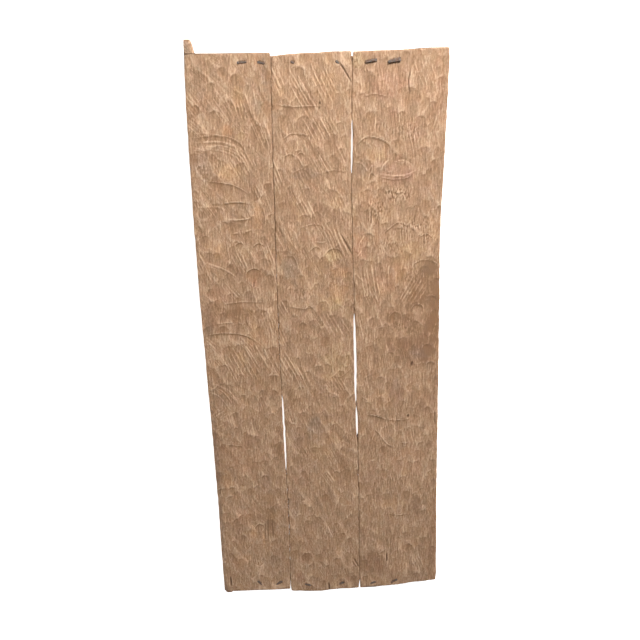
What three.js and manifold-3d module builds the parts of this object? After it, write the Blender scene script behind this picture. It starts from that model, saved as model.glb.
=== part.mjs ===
// Granary door of three hewn planks on two battens, lying with its hewn face up.
// Millimetres, +Z up. X runs across the door and Y up its height. The origin is below the
// middle of the door's outline, at the height of the surface that its battens lie on.

import * as THREE from 'three';
import Module from 'manifold-3d';
import { mergeVertices } from 'three/addons/utils/BufferGeometryUtils.js';

const wasm = await Module();
wasm.setup();

// Driving dimensions
const BATTEN_THICKNESS = 22;
const BATTEN_LENGTH = 396;
const BATTEN_WIDTH = 38;
const BATTEN_BEVEL = 3;
const BATTEN_MIDDLE_X = -8;
const TOP_BATTEN_Y = 615;
const BOTTOM_BATTEN_Y = -616;
const BATTEN_TURN = -0.7; // degrees: both battens run slightly askew
const PLANK_THICKNESS = 28;
const FIT_GAP = 0.3; // left between pieces that touch
const JOINT_GAP = 1.2; // between neighbouring planks where their joint is closed
const OUTER_EDGE = { width: 7, drop: 4.5 }; // worn edge of the hewn face on a free side
const JOINT_EDGE = { width: 4.5, drop: 2.6 }; // the same where two planks meet
const END_EDGE = { width: 6, drop: 4 };
const UNDER_BEVEL = 3.5; // how much narrower a plank is at its back, on each side
const CORNER_ROUND = 1.5;
const SCOOPS_ACROSS = 3; // scoops side by side on a plank
const SCOOP_PITCH = 42; // from scoop to scoop along a plank
const SCOOP_DEPTH = 1.9;
const SCOOP_DEPTH_SPREAD = 0.5;
const SCOOP_SHIFT = 6; // how far the scoops stray from even rows
const SCOOP_LEAN = 4; // how far below a scoop's middle its deepest point lies
const SCOOP_LEAN_SPREAD = 3;
const RING_INWARD = 0.42; // a scoop's inner ring, as a share of the way to its deepest point
const RING_DOWN = 0.72;
const RIDGE_WEAR = 0.7; // how far a ridge between scoops may lie below the face
const NAIL_SHANK = 5.4;
const NAIL_HEAD = 13;
const NAIL_HEAD_THICKNESS = 3;
const NAIL_HEAD_TAPER = 0.9;
const NAIL_HEAD_SUNK = 0.8; // the heads are driven in below the batten's back
const CLINCH_WIDTH = 5;
const CLINCH_THICKNESS = 3.6;
const CUT_LIFT = 6; // how far the shape that cuts a nail's hole stands above the nail
const PEG_CORNER = 0.2; // share of a peg's width that each cut corner takes

const PLANK_BACK = BATTEN_THICKNESS + FIT_GAP;
const FACE = PLANK_BACK + PLANK_THICKNESS; // height of the hewn face
const SHANK_START = NAIL_HEAD_SUNK + NAIL_HEAD_THICKNESS / 2;

// A smooth curve through a few stations, each [where, value]
function curve(stations) {
  const where = stations.map((station) => station[0]);
  const value = stations.map((station) => station[1]);
  const spline = new THREE.CubicInterpolant(where, value, 1);
  return (at) => spline.evaluate(at)[0];
}

// The long sides and the two joints: x at a few heights y, from the bottom up
const leftSide = curve([
  [-640, -274], [-371, -274.5], [-63, -280.1], [163, -284.6], [425, -285.2], [640, -282],
]);
const leftJoint = curve([
  [-640, -104], [-438, -102.3], [-281, -104], [-165, -105.2], [-44, -108], [90, -108.2], [322, -106.5],
  [521, -103.8], [640, -101],
]);
const rightJoint = curve([
  [-640, 72.6], [-251, 71.2], [-128, 68], [-30, 67.4], [140, 65.4], [318, 63], [452, 65],
  [640, 67.5],
]);
const rightSide = curve([
  [-640, 269.8], [-359, 265.6], [-110, 264.3], [120, 262.4], [245, 261], [436, 267.7], [640, 273.7],
]);

// Stretches where a joint stands open: from y, to y and how far it opens in the middle
const LEFT_JOINT_OPENINGS = [[-304, -118, 2.9]];
const RIGHT_JOINT_OPENINGS = [[390, 494, 2.6], [-140, 76, 4.4], [-222, -156, 3.6]];
const OPENING_FULLNESS = 4; // an opening is nearly as wide near its ends as in its middle

function halfGap(openings, y) {
  let gap = JOINT_GAP;
  for (const [from, to, widest] of openings) {
    if (y > from && y < to) {
      const fromMiddle = Math.abs((2 * (y - from)) / (to - from) - 1);
      gap += widest * (1 - fromMiddle ** OPENING_FULLNESS);
    }
  }
  return gap / 2;
}

// Each plank's long edges as x at a height y, and its ends as y at a place x
const PLANKS = [
  {
    name: 'left_plank',
    color: 0x9a7b5c,
    left: leftSide,
    leftEdge: OUTER_EDGE,
    right: (y) => leftJoint(y) - halfGap(LEFT_JOINT_OPENINGS, y),
    rightEdge: JOINT_EDGE,
    bottom: curve([[-275, -625], [-236, -629.5], [-206, -634], [-146, -640], [-100, -643]]),
    top: curve([[-285, 634.5], [-216, 636.2], [-160, 635.6], [-130, 635.6], [-100, 638.4]]),
  },
  {
    name: 'middle_plank',
    color: 0xa28363,
    left: (y) => leftJoint(y) + halfGap(LEFT_JOINT_OPENINGS, y),
    leftEdge: JOINT_EDGE,
    right: (y) => rightJoint(y) - halfGap(RIGHT_JOINT_OPENINGS, y),
    rightEdge: JOINT_EDGE,
    bottom: curve([[-104, -647], [-60, -649.5], [-12, -649], [10, -646.6], [42, -645], [75, -646.4]]),
    top: curve([[-104, 630.6], [-43, 633.8], [6, 634.8], [38, 635.8], [70, 638.6]]),
  },
  {
    name: 'right_plank',
    color: 0x967756,
    left: (y) => rightJoint(y) + halfGap(RIGHT_JOINT_OPENINGS, y),
    leftEdge: JOINT_EDGE,
    right: rightSide,
    rightEdge: OUTER_EDGE,
    bottom: curve([[70, -648], [100, -642.2], [161, -640.6], [208, -635], [238, -632], [270, -631.6]]),
    top: curve([[66, 637.2], [98, 636.4], [193, 637.6], [238, 639.4], [274, 642.2]]),
  },
];

// The pegs on the left plank, as sections along Y: y, x from and to, z from and to
const TOP_PEG = [
  [624, -282.8, -256, PLANK_BACK + 2, FACE - 1.5],
  [655, -281, -263, PLANK_BACK + 4, FACE - 1.5],
  [665, -280, -266.4, PLANK_BACK + 6, FACE - 3.5],
];
const BOTTOM_PEG = [
  [-650, -267.4, -255, PLANK_BACK + 7, FACE - 10],
  [-646, -271, -252.4, PLANK_BACK + 5, FACE - 8.5],
  [-638, -273.6, -250, PLANK_BACK + 4, FACE - 7.5],
  [-612, -273.8, -247, PLANK_BACK + 3, FACE - 6],
];

// Nails from left to right: where each comes out of the face, how far and which way its end is
// bent over (degrees from +X), how wide it ends and how high above the face it lies
const TOP_NAILS = [
  { x: -170, y: 617, reach: 19, turn: 4, tip: 3.4, rise: -0.8 },
  { x: -127, y: 617, reach: 14, turn: -9, tip: 3, rise: -0.6 },
  { x: -58, y: 617, reach: 7, turn: -30, tip: 3, rise: -1 },
  { x: 35, y: 616, reach: 8, turn: -40, tip: 3, rise: -1 },
  { x: 117, y: 617, reach: 22, turn: 188, tip: 5.4, rise: 1.8 },
  { x: 145, y: 613, reach: 25, turn: 11, tip: 9, rise: 2.2 },
];
const BOTTOM_NAILS = [
  { x: -185, y: -614, reach: 13, turn: -54, tip: 3, rise: -0.8 },
  { x: -127, y: -618, reach: 15, turn: 208, tip: 3.4, rise: -0.8 },
  { x: -65, y: -627, reach: 14, turn: -20, tip: 3, rise: -0.8 },
  { x: 31, y: -626.5, reach: 12, turn: 200, tip: 3, rise: -1 },
  { x: 112, y: -628, reach: 14, turn: 202, tip: 3, rise: -0.8 },
  { x: 167, y: -624, reach: 16, turn: 207, tip: 3.4, rise: -0.8 },
];

// A repeatable scatter between -1 and 1
function scatter(seed) {
  const wave = Math.sin(seed * 12.9898) * 43758.5453;
  return 2 * (wave - Math.floor(wave)) - 1;
}

// Collects the corners and triangles of one closed body
class Body {
  constructor() {
    this.corners = [];
    this.triangles = [];
  }

  corner(x, y, z) {
    this.corners.push([x, y, z]);
    return this.corners.length - 1;
  }

  // A band of triangles between two loops that run counterclockwise seen from above
  band(lower, upper) {
    for (let i = 0; i < lower.length; i += 1) {
      const next = (i + 1) % lower.length;
      this.triangles.push(lower[i], lower[next], upper[next]);
      this.triangles.push(lower[i], upper[next], upper[i]);
    }
  }

  fan(middle, loop) {
    for (let i = 0; i < loop.length; i += 1) {
      this.triangles.push(middle, loop[i], loop[(i + 1) % loop.length]);
    }
  }

  // Closes a convex flat loop, seen counterclockwise from outside
  lid(loop) {
    for (let i = 1; i < loop.length - 1; i += 1) {
      this.triangles.push(loop[0], loop[i], loop[i + 1]);
    }
  }

  // Closes a flat loop that lies level, with faces that look down
  underside(loop) {
    const contour = loop.map((index) => new THREE.Vector2(...this.corners[index]));
    for (const [a, b, c] of THREE.ShapeUtils.triangulateShape(contour, [])) {
      this.triangles.push(loop[a], loop[c], loop[b]);
    }
  }

  geometry() {
    const shape = new THREE.BufferGeometry();
    shape.setAttribute('position', new THREE.Float32BufferAttribute(this.corners.flat(), 3));
    shape.setIndex(this.triangles);
    return shape;
  }
}

function toManifold(geometry) {
  const bare = geometry.clone();
  bare.deleteAttribute('normal');
  bare.deleteAttribute('uv');
  const merged = mergeVertices(bare);
  const vertProperties = new Float32Array(merged.attributes.position.array);
  const triVerts = new Uint32Array(merged.index.array);
  return new wasm.Manifold(new wasm.Mesh({ numProp: 3, vertProperties, triVerts }));
}

function fromManifold(solid) {
  const mesh = solid.getMesh();
  const shape = new THREE.BufferGeometry();
  shape.setAttribute('position', new THREE.BufferAttribute(mesh.vertProperties, 3));
  shape.setIndex(new THREE.BufferAttribute(mesh.triVerts, 1));
  shape.computeVertexNormals();
  return shape;
}

// Brickwork of scoops on a hewn face. Every second row starts with half a scoop. Returns the
// corners around the face, each with the direction in which the plank lies from it.
function hewnFace(body, plank, seed) {
  const rows = Math.round((plank.top(0) - plank.bottom(0)) / SCOOP_PITCH);
  const steps = 2 * SCOOPS_ACROSS;
  const inwardX = (step) => Number(step === 0) - Number(step === steps);
  const inwardY = (row) => Number(row === 0) - Number(row === rows);

  const faceCorner = (row, step) => {
    const across = step / steps;
    const along = row / rows;
    const roughY = THREE.MathUtils.lerp(BOTTOM_BATTEN_Y, TOP_BATTEN_Y, along);
    const roughX = THREE.MathUtils.lerp(plank.left(roughY), plank.right(roughY), across);
    const lowest = plank.bottom(roughX) + END_EDGE.width;
    const highest = plank.top(roughX) - END_EDGE.width;
    const evenY = THREE.MathUtils.lerp(lowest, highest, along);
    const seedHere = seed + 31 * row + 7.3 * step;
    const y = evenY + (inwardY(row) ? 0 : SCOOP_SHIFT * scatter(seedHere));
    const leftmost = plank.left(y) + plank.leftEdge.width;
    const rightmost = plank.right(y) - plank.rightEdge.width;
    const evenX = THREE.MathUtils.lerp(leftmost, rightmost, across);
    const x = evenX + (inwardX(step) ? 0 : SCOOP_SHIFT * scatter(seedHere + 0.37));
    return body.corner(x, y, FACE - RIDGE_WEAR * (0.5 + 0.5 * scatter(seedHere + 0.71)));
  };

  const lines = [];
  for (let row = 0; row <= rows; row += 1) {
    const line = [];
    for (let step = 0; step <= steps; step += 1) {
      line.push(faceCorner(row, step));
    }
    lines.push(line);
  }

  // One more corner halfway up each row on both long edges
  const halfway = (row, step, side, inset) => {
    const [, lowY, lowZ] = body.corners[lines[row][step]];
    const [, highY, highZ] = body.corners[lines[row + 1][step]];
    const y = (lowY + highY) / 2;
    return body.corner(side(y) + inset, y, (lowZ + highZ) / 2);
  };
  const leftMiddles = [];
  const rightMiddles = [];
  for (let row = 0; row < rows; row += 1) {
    leftMiddles.push(halfway(row, 0, plank.left, plank.leftEdge.width));
    rightMiddles.push(halfway(row, steps, plank.right, -plank.rightEdge.width));
  }

  for (let row = 0; row < rows; row += 1) {
    for (let step = -(row % 2); step < steps; step += 2) {
      const from = Math.max(step, 0);
      const to = Math.min(step + 2, steps);
      const loop = lines[row].slice(from, to + 1);
      if (to === steps) {
        loop.push(rightMiddles[row]);
      }
      loop.push(...lines[row + 1].slice(from, to + 1).reverse());
      if (from === 0) {
        loop.push(leftMiddles[row]);
      }
      addScoop(body, loop, seed + 17 * row + 3 * step);
    }
  }

  const around = lines[0].map((corner, step) => ({ corner, inX: inwardX(step), inY: 1 }));
  for (let row = 0; row < rows; row += 1) {
    around.push({ corner: rightMiddles[row], inX: -1, inY: 0 });
    around.push({ corner: lines[row + 1][steps], inX: -1, inY: inwardY(row + 1) });
  }
  for (let step = steps - 1; step >= 0; step -= 1) {
    around.push({ corner: lines[rows][step], inX: inwardX(step), inY: -1 });
  }
  for (let row = rows - 1; row > 0; row -= 1) {
    around.push({ corner: leftMiddles[row], inX: 1, inY: 0 });
    around.push({ corner: lines[row][0], inX: 1, inY: 0 });
  }
  around.push({ corner: leftMiddles[0], inX: 1, inY: 0 });
  return around;
}

// One scoop: its border, a ring inside it and its deepest point, near the end of the stroke
function addScoop(body, loop, seed) {
  const border = loop.map((index) => body.corners[index]);
  const average = (axis) => border.reduce((sum, place) => sum + place[axis], 0) / border.length;
  const deepX = average(0);
  const deepY = average(1) - SCOOP_LEAN + SCOOP_LEAN_SPREAD * scatter(seed + 0.5);
  const deepZ = FACE - SCOOP_DEPTH - SCOOP_DEPTH_SPREAD * scatter(seed);
  const ring = border.map(([x, y, z]) => {
    const ringX = THREE.MathUtils.lerp(x, deepX, RING_INWARD);
    const ringY = THREE.MathUtils.lerp(y, deepY, RING_INWARD);
    return body.corner(ringX, ringY, THREE.MathUtils.lerp(z, deepZ, RING_DOWN));
  });
  body.band(loop, ring);
  body.fan(body.corner(deepX, deepY, deepZ), ring);
}

// A whole plank: hewn face, worn arris, sides that lean in towards the back, flat back
function plankSolid(plank, seed) {
  const body = new Body();
  const around = hewnFace(body, plank, seed);

  const outline = around.map(({ corner, inX, inY }) => {
    const [x, y] = body.corners[corner];
    const round = inX && inY ? CORNER_ROUND : 0;
    const sidesX = { '-1': plank.right(y), 0: x, 1: plank.left(y) };
    const endsY = { '-1': plank.top(x), 0: y, 1: plank.bottom(x) };
    const drops = { '-1': plank.rightEdge.drop, 0: END_EDGE.drop, 1: plank.leftEdge.drop };
    return { x: sidesX[inX] + round * inX, y: endsY[inY] + round * inY, inX, inY, drop: drops[inX] };
  });
  const worn = outline.map(({ x, y, drop }) => body.corner(x, y, FACE - drop));
  const back = outline.map(({ x, y, inX, inY }) => {
    return body.corner(x + UNDER_BEVEL * inX, y + UNDER_BEVEL * inY, PLANK_BACK);
  });

  body.band(worn, around.map(({ corner }) => corner));
  body.band(back, worn);
  body.underside(back);
  return toManifold(body.geometry());
}

// A peg of eight-sided sections that follow each other along +Y
function pegSolid(sections) {
  const body = new Body();
  const loops = sections.map(([y, left, right, low, high]) => {
    const cutX = PEG_CORNER * (right - left);
    const cutZ = PEG_CORNER * (high - low);
    const plan = [
      [left + cutX, low], [left, low + cutZ], [left, high - cutZ], [left + cutX, high],
      [right - cutX, high], [right, high - cutZ], [right, low + cutZ], [right - cutX, low],
    ];
    return plan.map(([x, z]) => body.corner(x, y, z));
  });
  for (let i = 1; i < loops.length; i += 1) {
    body.band(loops[i - 1], loops[i]);
  }
  body.lid([...loops[0]].reverse());
  body.lid(loops[loops.length - 1]);
  return toManifold(body.geometry());
}

// A forged nail: sunk four-sided head, square shank and an end bent over on the face. Grown by
// a gap and lifted, the same shape cuts the nail's own hole and the groove that its end lies in.
function nailSolid(nail, grow = 0, lift = 0) {
  const { x, y, reach, turn, tip, rise } = nail;
  const top = FACE + rise + lift;
  const turned = THREE.MathUtils.degToRad(turn);

  const side = NAIL_SHANK + 2 * grow;
  const shank = new THREE.BoxGeometry(side, side, top - SHANK_START);
  shank.rotateZ(turned);
  shank.translate(x, y, (top + SHANK_START) / 2);

  const headLow = lift > 0 ? -NAIL_HEAD_SUNK : NAIL_HEAD_SUNK;
  const headHigh = NAIL_HEAD_SUNK + NAIL_HEAD_THICKNESS + grow;
  const headRadius = (NAIL_HEAD + 2 * grow) / Math.SQRT2;
  const lowRadius = headRadius * NAIL_HEAD_TAPER;
  const head = new THREE.CylinderGeometry(headRadius, lowRadius, headHigh - headLow, 4);
  head.rotateX(Math.PI / 2);
  head.rotateZ(turned + Math.PI / 4);
  head.translate(x, y, (headLow + headHigh) / 2);

  const legLow = FACE + rise - CLINCH_THICKNESS - grow;
  const leg = new THREE.BoxGeometry(reach + grow, CLINCH_WIDTH + 2 * grow, top - legLow);
  leg.translate((reach + grow) / 2, 0, (top + legLow) / 2);
  const places = leg.attributes.position;
  for (let i = 0; i < places.count; i += 1) {
    if (places.getX(i) > reach / 2) {
      places.setY(i, Math.sign(places.getY(i)) * (tip / 2 + grow));
    }
  }
  leg.rotateZ(turned);
  leg.translate(x, y, 0);

  return toManifold(shank).add(toManifold(head)).add(toManifold(leg));
}

// A batten: a bar with bevelled long edges, lying across the planks' backs
function battenSolid(middleY) {
  const half = BATTEN_WIDTH / 2;
  const shape = new THREE.Shape([
    new THREE.Vector2(-half + BATTEN_BEVEL, 0),
    new THREE.Vector2(half - BATTEN_BEVEL, 0),
    new THREE.Vector2(half, BATTEN_BEVEL),
    new THREE.Vector2(half, BATTEN_THICKNESS),
    new THREE.Vector2(-half, BATTEN_THICKNESS),
    new THREE.Vector2(-half, BATTEN_BEVEL),
  ]);
  const bar = new THREE.ExtrudeGeometry(shape, { depth: BATTEN_LENGTH, bevelEnabled: false });
  bar.translate(0, 0, -BATTEN_LENGTH / 2);
  bar.rotateX(Math.PI / 2);
  bar.rotateZ(Math.PI / 2 + THREE.MathUtils.degToRad(BATTEN_TURN));
  bar.translate(BATTEN_MIDDLE_X, middleY, 0);
  return toManifold(bar);
}

function pieceMesh(name, solid, finish) {
  const mesh = new THREE.Mesh(fromManifold(solid), new THREE.MeshStandardMaterial(finish));
  mesh.name = name;
  return mesh;
}

const WOOD = { roughness: 0.85, metalness: 0, flatShading: true };
const IRON = { color: 0x4a3a30, roughness: 0.7, metalness: 0.6, flatShading: true };
const BATTEN_COLOR = 0x7d6248;

const door = new THREE.Group();
const cutters = [...TOP_NAILS, ...BOTTOM_NAILS].map((nail) => nailSolid(nail, FIT_GAP, CUT_LIFT));
const allCuts = cutters.reduce((joined, cutter) => joined.add(cutter));

PLANKS.forEach((plank, index) => {
  let solid = plankSolid(plank, 100 * (index + 1));
  if (plank.name === 'left_plank') {
    solid = solid.add(pegSolid(TOP_PEG)).add(pegSolid(BOTTOM_PEG));
  }
  door.add(pieceMesh(plank.name, solid.subtract(allCuts), { ...WOOD, color: plank.color }));
});

for (const [name, middleY] of [['top_batten', TOP_BATTEN_Y], ['bottom_batten', BOTTOM_BATTEN_Y]]) {
  const solid = battenSolid(middleY).subtract(allCuts);
  door.add(pieceMesh(name, solid, { ...WOOD, color: BATTEN_COLOR }));
}

for (const [row, nails] of [['top', TOP_NAILS], ['bottom', BOTTOM_NAILS]]) {
  nails.forEach((nail, index) => {
    door.add(pieceMesh(`nail_${row}_${index + 1}`, nailSolid(nail), IRON));
  });
}

// The door is set down so that the middle of its outline is over the origin
const outlineBox = new THREE.Box3().setFromObject(door);
const outlineMiddle = outlineBox.getCenter(new THREE.Vector3());
door.position.set(-outlineMiddle.x, -outlineMiddle.y, 0);

const part = new THREE.Group();
part.add(door);

export default part;
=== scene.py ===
"""Looks of a carved granary door: three hewn planks with pivot pegs, two battens and forged nails.

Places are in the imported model's own frame. Sizes are millimetres up to the moment a mesh is made.
Each plank's face is a height map that is cut stroke by stroke, as an adze cuts it.
"""

import math

import bpy
import numpy as np
from mathutils import Euler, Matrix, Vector


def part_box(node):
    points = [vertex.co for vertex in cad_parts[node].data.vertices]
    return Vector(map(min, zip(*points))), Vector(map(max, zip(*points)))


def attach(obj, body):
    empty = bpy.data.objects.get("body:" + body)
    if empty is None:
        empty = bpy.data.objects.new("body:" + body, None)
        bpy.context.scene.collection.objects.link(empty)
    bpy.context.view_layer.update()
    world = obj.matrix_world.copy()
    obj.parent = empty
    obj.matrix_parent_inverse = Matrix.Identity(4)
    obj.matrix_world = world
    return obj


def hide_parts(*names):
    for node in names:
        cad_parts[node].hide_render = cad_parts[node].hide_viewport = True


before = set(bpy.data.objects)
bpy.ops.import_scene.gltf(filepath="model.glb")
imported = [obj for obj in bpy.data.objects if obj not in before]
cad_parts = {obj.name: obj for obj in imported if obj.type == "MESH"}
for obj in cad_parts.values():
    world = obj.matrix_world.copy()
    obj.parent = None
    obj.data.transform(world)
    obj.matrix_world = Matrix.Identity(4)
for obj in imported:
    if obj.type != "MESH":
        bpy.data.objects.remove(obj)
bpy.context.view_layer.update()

# General sizes
MM = 0.001
PLANKS = ("left_plank", "middle_plank", "right_plank")
PEGGED = "left_plank"
FACE = max(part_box(name)[1].z for name in PLANKS) / MM
BACK = min(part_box(name)[0].z for name in PLANKS) / MM
OUTLINE_LEVEL = 5.5
SLOPE_GAP = 0.8
CLOSED_GAP = 0.35
JOINT_WANDER = 0.45
FACE_COLUMN = 1.25
PLANK_TRIANGLES = 186000
WALL_STEPS = (0.0, 0.3, 0.62, 0.86)
BACK_COLUMNS = 7
RASTER = 0.8
MARGIN = 14

# Wear of the edges: width and drop of the rounding
OUTER_ARRIS = (5.0, 3.2)
JOINT_ARRIS = (2.4, 1.7)
END_ARRIS = (2.6, 2.0)
CORNER_ROUND = 1.6
WALL_LEAN = 3.2

# Pegs, battens and nails
NAILS = sorted(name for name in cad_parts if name.startswith("nail_"))
PEG_WIDTH = 27
PEG_ROOT = 14
BAR_POINTS = 56
NAIL_VOXEL = 0.8
NAIL_BED = 2.6
SHARP_ANGLE = 52

# Floor and backdrop, in metres
FLOOR_SIDES = 72
FLOOR_RADIUS = 4.0
BACKDROP_BEND = 2.0
BACKDROP_HEIGHT = 4.5

# Adze work
STROKE_PITCH = (44.0, 25.0)
WEAR_BLUR = 0.42
EXIT_SLOPE = 0.4


def slice_node(node, axis, level):
    """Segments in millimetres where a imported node's mesh crosses the plane axis = level."""
    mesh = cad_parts[node].data
    mesh.calc_loop_triangles()
    points = np.empty(len(mesh.vertices) * 3)
    mesh.vertices.foreach_get("co", points)
    points = points.reshape(-1, 3) / MM
    corners = np.empty(len(mesh.loop_triangles) * 3, int)
    mesh.loop_triangles.foreach_get("vertices", corners)
    corners = corners.reshape(-1, 3)
    height = points[:, axis] - level
    ends = []
    for first, second in ((0, 1), (1, 2), (2, 0)):
        a, b = corners[:, first], corners[:, second]
        crosses = height[a] * height[b] < 0
        share = np.where(crosses, height[a] / np.where(crosses, height[a] - height[b], 1), 0)
        place = points[a] + (points[b] - points[a]) * share[:, None]
        ends.append(np.where(crosses[:, None], place, np.nan))
    ends = np.stack(ends, 1)
    whole = np.isfinite(ends[:, :, 0]).sum(1) == 2
    order = np.argsort(~np.isfinite(ends[whole, :, 0]), axis=1, kind="stable")[:, :2]
    return np.take_along_axis(ends[whole], order[:, :, None], 1)


def crossings(segments, along, across, places):
    """Lowest and highest value on one axis where flat segments cross places on another axis."""
    a, b = segments[:, 0], segments[:, 1]
    gap = (a[:, along] - places[:, None]) * (b[:, along] - places[:, None])
    span = b[:, along] - a[:, along]
    share = (places[:, None] - a[:, along]) / np.where(abs(span) < 1e-9, 1e-9, span)
    value = a[:, across] + (b[:, across] - a[:, across]) * share
    hit = gap <= 0
    return np.where(hit, value, np.inf).min(1), np.where(hit, value, -np.inf).max(1)


def wander(x, y, size, seed):
    """Smooth noise about -1 to 1, with features of about the given size."""
    draw = np.random.default_rng(seed)
    total = np.zeros(np.broadcast(x, y).shape)
    for _ in range(7):
        turn, phase = draw.uniform(0, 2 * math.pi, 2)
        pitch = 2 * math.pi / (size * draw.uniform(1.4, 3.2))
        total = total + np.sin(pitch * (x * math.cos(turn) + y * math.sin(turn)) + phase)
    return total / 2.6


def blur(values, across, along=None):
    """Gaussian blur of a map, by cells across (x) and along (y), with mirrored borders."""
    along = across if along is None else along
    pad_y, pad_x = int(along * 3) + 2, int(across * 3) + 2
    padded = np.pad(values, ((pad_y, pad_y), (pad_x, pad_x)), "reflect")
    fy = np.fft.fftfreq(padded.shape[0])[:, None]
    fx = np.fft.rfftfreq(padded.shape[1])[None, :]
    soften = np.exp(-2 * math.pi ** 2 * ((fy * along) ** 2 + (fx * across) ** 2))
    result = np.fft.irfft2(np.fft.rfft2(padded) * soften, s=padded.shape)
    return result[pad_y:-pad_y, pad_x:-pad_x]


def smooth_line(points):
    """Points close together on a smooth curve through the given ones."""
    points = np.array(points, float)
    if len(points) == 2:
        return points
    padded = np.concatenate((2 * points[:1] - points[1:2], points, 2 * points[-1:] - points[-2:-1]))
    t = np.linspace(0, 1, 7)[:-1, None]
    pieces = []
    for a, b, c, d in zip(padded, padded[1:], padded[2:], padded[3:]):
        pieces.append(b + 0.5 * t * (c - a + t * (2 * a - 5 * b + 4 * c - d + t * (3 * (b - c) + d - a))))
    return np.concatenate(pieces + [points[-1:]])


class HewnFace:
    """One plank's face as maps on a raster: depth under the face, and what colours the wood, painted highlight and
    painted shade included.
    """

    def __init__(self, low, high, seed):
        self.low = np.array(low, float) - MARGIN
        size = ((np.array(high) + MARGIN - self.low) / RASTER).astype(int)
        self.x = self.low[0] + RASTER * np.arange(size[0])[None, :]
        self.y = self.low[1] + RASTER * np.arange(size[1])[:, None]
        self.depth = np.zeros((size[1], size[0]))
        self.across = self.depth + self.x
        self.along = self.depth + self.y
        self.tone, self.hue, self.comb = (np.zeros_like(self.depth) for _ in range(3))
        self.dark, self.shade, self.warm, self.red = (np.zeros_like(self.depth) for _ in range(4))
        self.draw = np.random.default_rng(seed)

    def window(self, x, y, reach):
        """The part of the raster within reach of a place."""
        i, j = ((np.array((x, y)) - self.low) / RASTER).astype(int)
        cells = int(reach / RASTER) + 1
        rows = slice(max(0, j - cells), max(0, j + cells + 1))
        columns = slice(max(0, i - cells), max(0, i + cells + 1))
        return rows, columns

    def blade_lines(self, u, v, length, width, spacing, height):
        """Ridges that the nicks in a blade leave along its path, each over its own stretch."""
        count = int(width * 1.5 / spacing) + 6
        draw = self.draw
        sideways = draw.uniform(-0.3, 0.3, count)
        heights = height * draw.uniform(0.15, 1.0, count) ** 1.6
        middles = draw.uniform(-0.3, 0.3, count) * length
        reaches = draw.uniform(0.18, 0.5, count) * length
        place = v / spacing + count / 2
        near = np.clip(np.rint(place).astype(int), 0, count - 1)
        away = (place - near - sideways[near]) * spacing
        fade = np.clip(2.2 - 2.2 * abs(u - middles[near]) / reaches[near], 0, 1)
        return heights[near] * fade * (np.exp(-(away / 0.75) ** 2) - 0.35 * np.exp(-((away + 1.5) / 1.0) ** 2))

    def stroke(self, x, y, angle, length, width, depth, lines, spacing=4.0, bow=0.5):
        """One cut of the blade: a long shallow entry, a hollow, and a steep curved stop."""
        rows, columns = self.window(x, y, 0.72 * length + 0.6 * width)
        dx, dy = self.x[:, columns] - x, self.y[rows] - y
        if dx.size == 0 or dy.size == 0:
            return
        turn = math.radians(angle)
        u = dx * math.cos(turn) + dy * math.sin(turn)
        v = dy * math.cos(turn) - dx * math.sin(turn)
        v = v + self.draw.uniform(-0.12, 0.12) / length * u * u
        v = v / (1 + self.draw.uniform(-0.15, 0.15) * u / length)
        stop = 0.42 * length - 1.2 * bow * v * v / width
        ragged = 0.5 * np.sin(v / self.draw.uniform(1.6, 3.0) + self.draw.uniform(0, 6))
        rise = np.maximum(0, u - stop - ragged) * EXIT_SLOPE
        entry = 1.8 * depth * (np.minimum(u - 0.2 * length, 0) / length) ** 2
        hollow = 4 * depth * (v / width) ** 2
        shape = depth - entry - hollow - rise
        shape = shape - self.blade_lines(u, v, length, width, spacing, lines)
        deeper = shape > self.depth[rows, columns]
        mark = self.draw.normal(size=2)
        for values, new in ((self.depth, shape), (self.tone, mark[0]), (self.hue, mark[1]), (self.comb, lines),
                            (self.across, v + 60 * mark[0]), (self.along, u + 60 * mark[1])):
            values[rows, columns] = np.where(deeper, new, values[rows, columns])

    def along_line(self, points, reach):
        """Cells near a line of points: their distance to it, its side, and a fade to both its ends."""
        points = smooth_line(points)
        low, high = points.min(0) - reach, points.max(0) + reach
        first = np.maximum(((low - self.low) / RASTER).astype(int), 0)
        last = np.maximum(((high - self.low) / RASTER).astype(int) + 1, 0)
        part = (slice(first[1], last[1]), slice(first[0], last[0]))
        dx, dy = self.x[:, part[1]], self.y[part[0]]
        away = np.full((dy.shape[0], dx.shape[1]), 1e6)
        side, run = np.zeros_like(away), np.zeros_like(away)
        lengths = np.hypot(*(points[1:] - points[:-1]).T)
        total = lengths.sum()
        passed = 0.0
        for (x0, y0), (x1, y1), length in zip(points, points[1:], lengths):
            ahead = ((dx - x0) * (x1 - x0) + (dy - y0) * (y1 - y0)) / max(length ** 2, 1e-6)
            share = np.clip(ahead, 0, 1)
            distance = np.hypot(dx - x0 - share * (x1 - x0), dy - y0 - share * (y1 - y0))
            closer = distance < away
            away = np.where(closer, distance, away)
            turn = (x1 - x0) * (dy - y0) - (y1 - y0) * (dx - x0)
            side = np.where(closer, np.sign(turn), side)
            run = np.where(closer, (passed + share * length) / total, run)
            passed += length
        fade = np.clip(4.5 * np.minimum(run, 1 - run) + 0.12, 0, 1)
        return part, away, side, fade

    def crease(self, points, width, rise, painted_shade_and_stain=0.0):
        """A raised line where rise is positive, and a groove or crack where it is negative, which may be darkened with
        painted shade.
        """
        part, away, _, fade = self.along_line(points, 3 * width)
        shape = np.exp(-(away / width) ** 2) * fade
        self.depth[part] -= rise * shape
        # Painted shade in the groove, crack or hole, and rust stain round the nails.
        self.dark[part] = np.maximum(self.dark[part], painted_shade_and_stain * shape)

    def ledge(self, points, drop, reach):
        """A step along a line: the surface to the left of its direction lies lower, under a thin lip."""
        part, away, side, fade = self.along_line(points, 3 * reach)
        signed = side * away
        lower = np.clip(0.5 + signed / 1.5, 0, 1)
        lip = 0.45 * np.exp(-((signed + 1.3) / 1.0) ** 2)
        self.depth[part] += drop * fade * (lower * np.exp(-away / reach) - lip)

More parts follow.
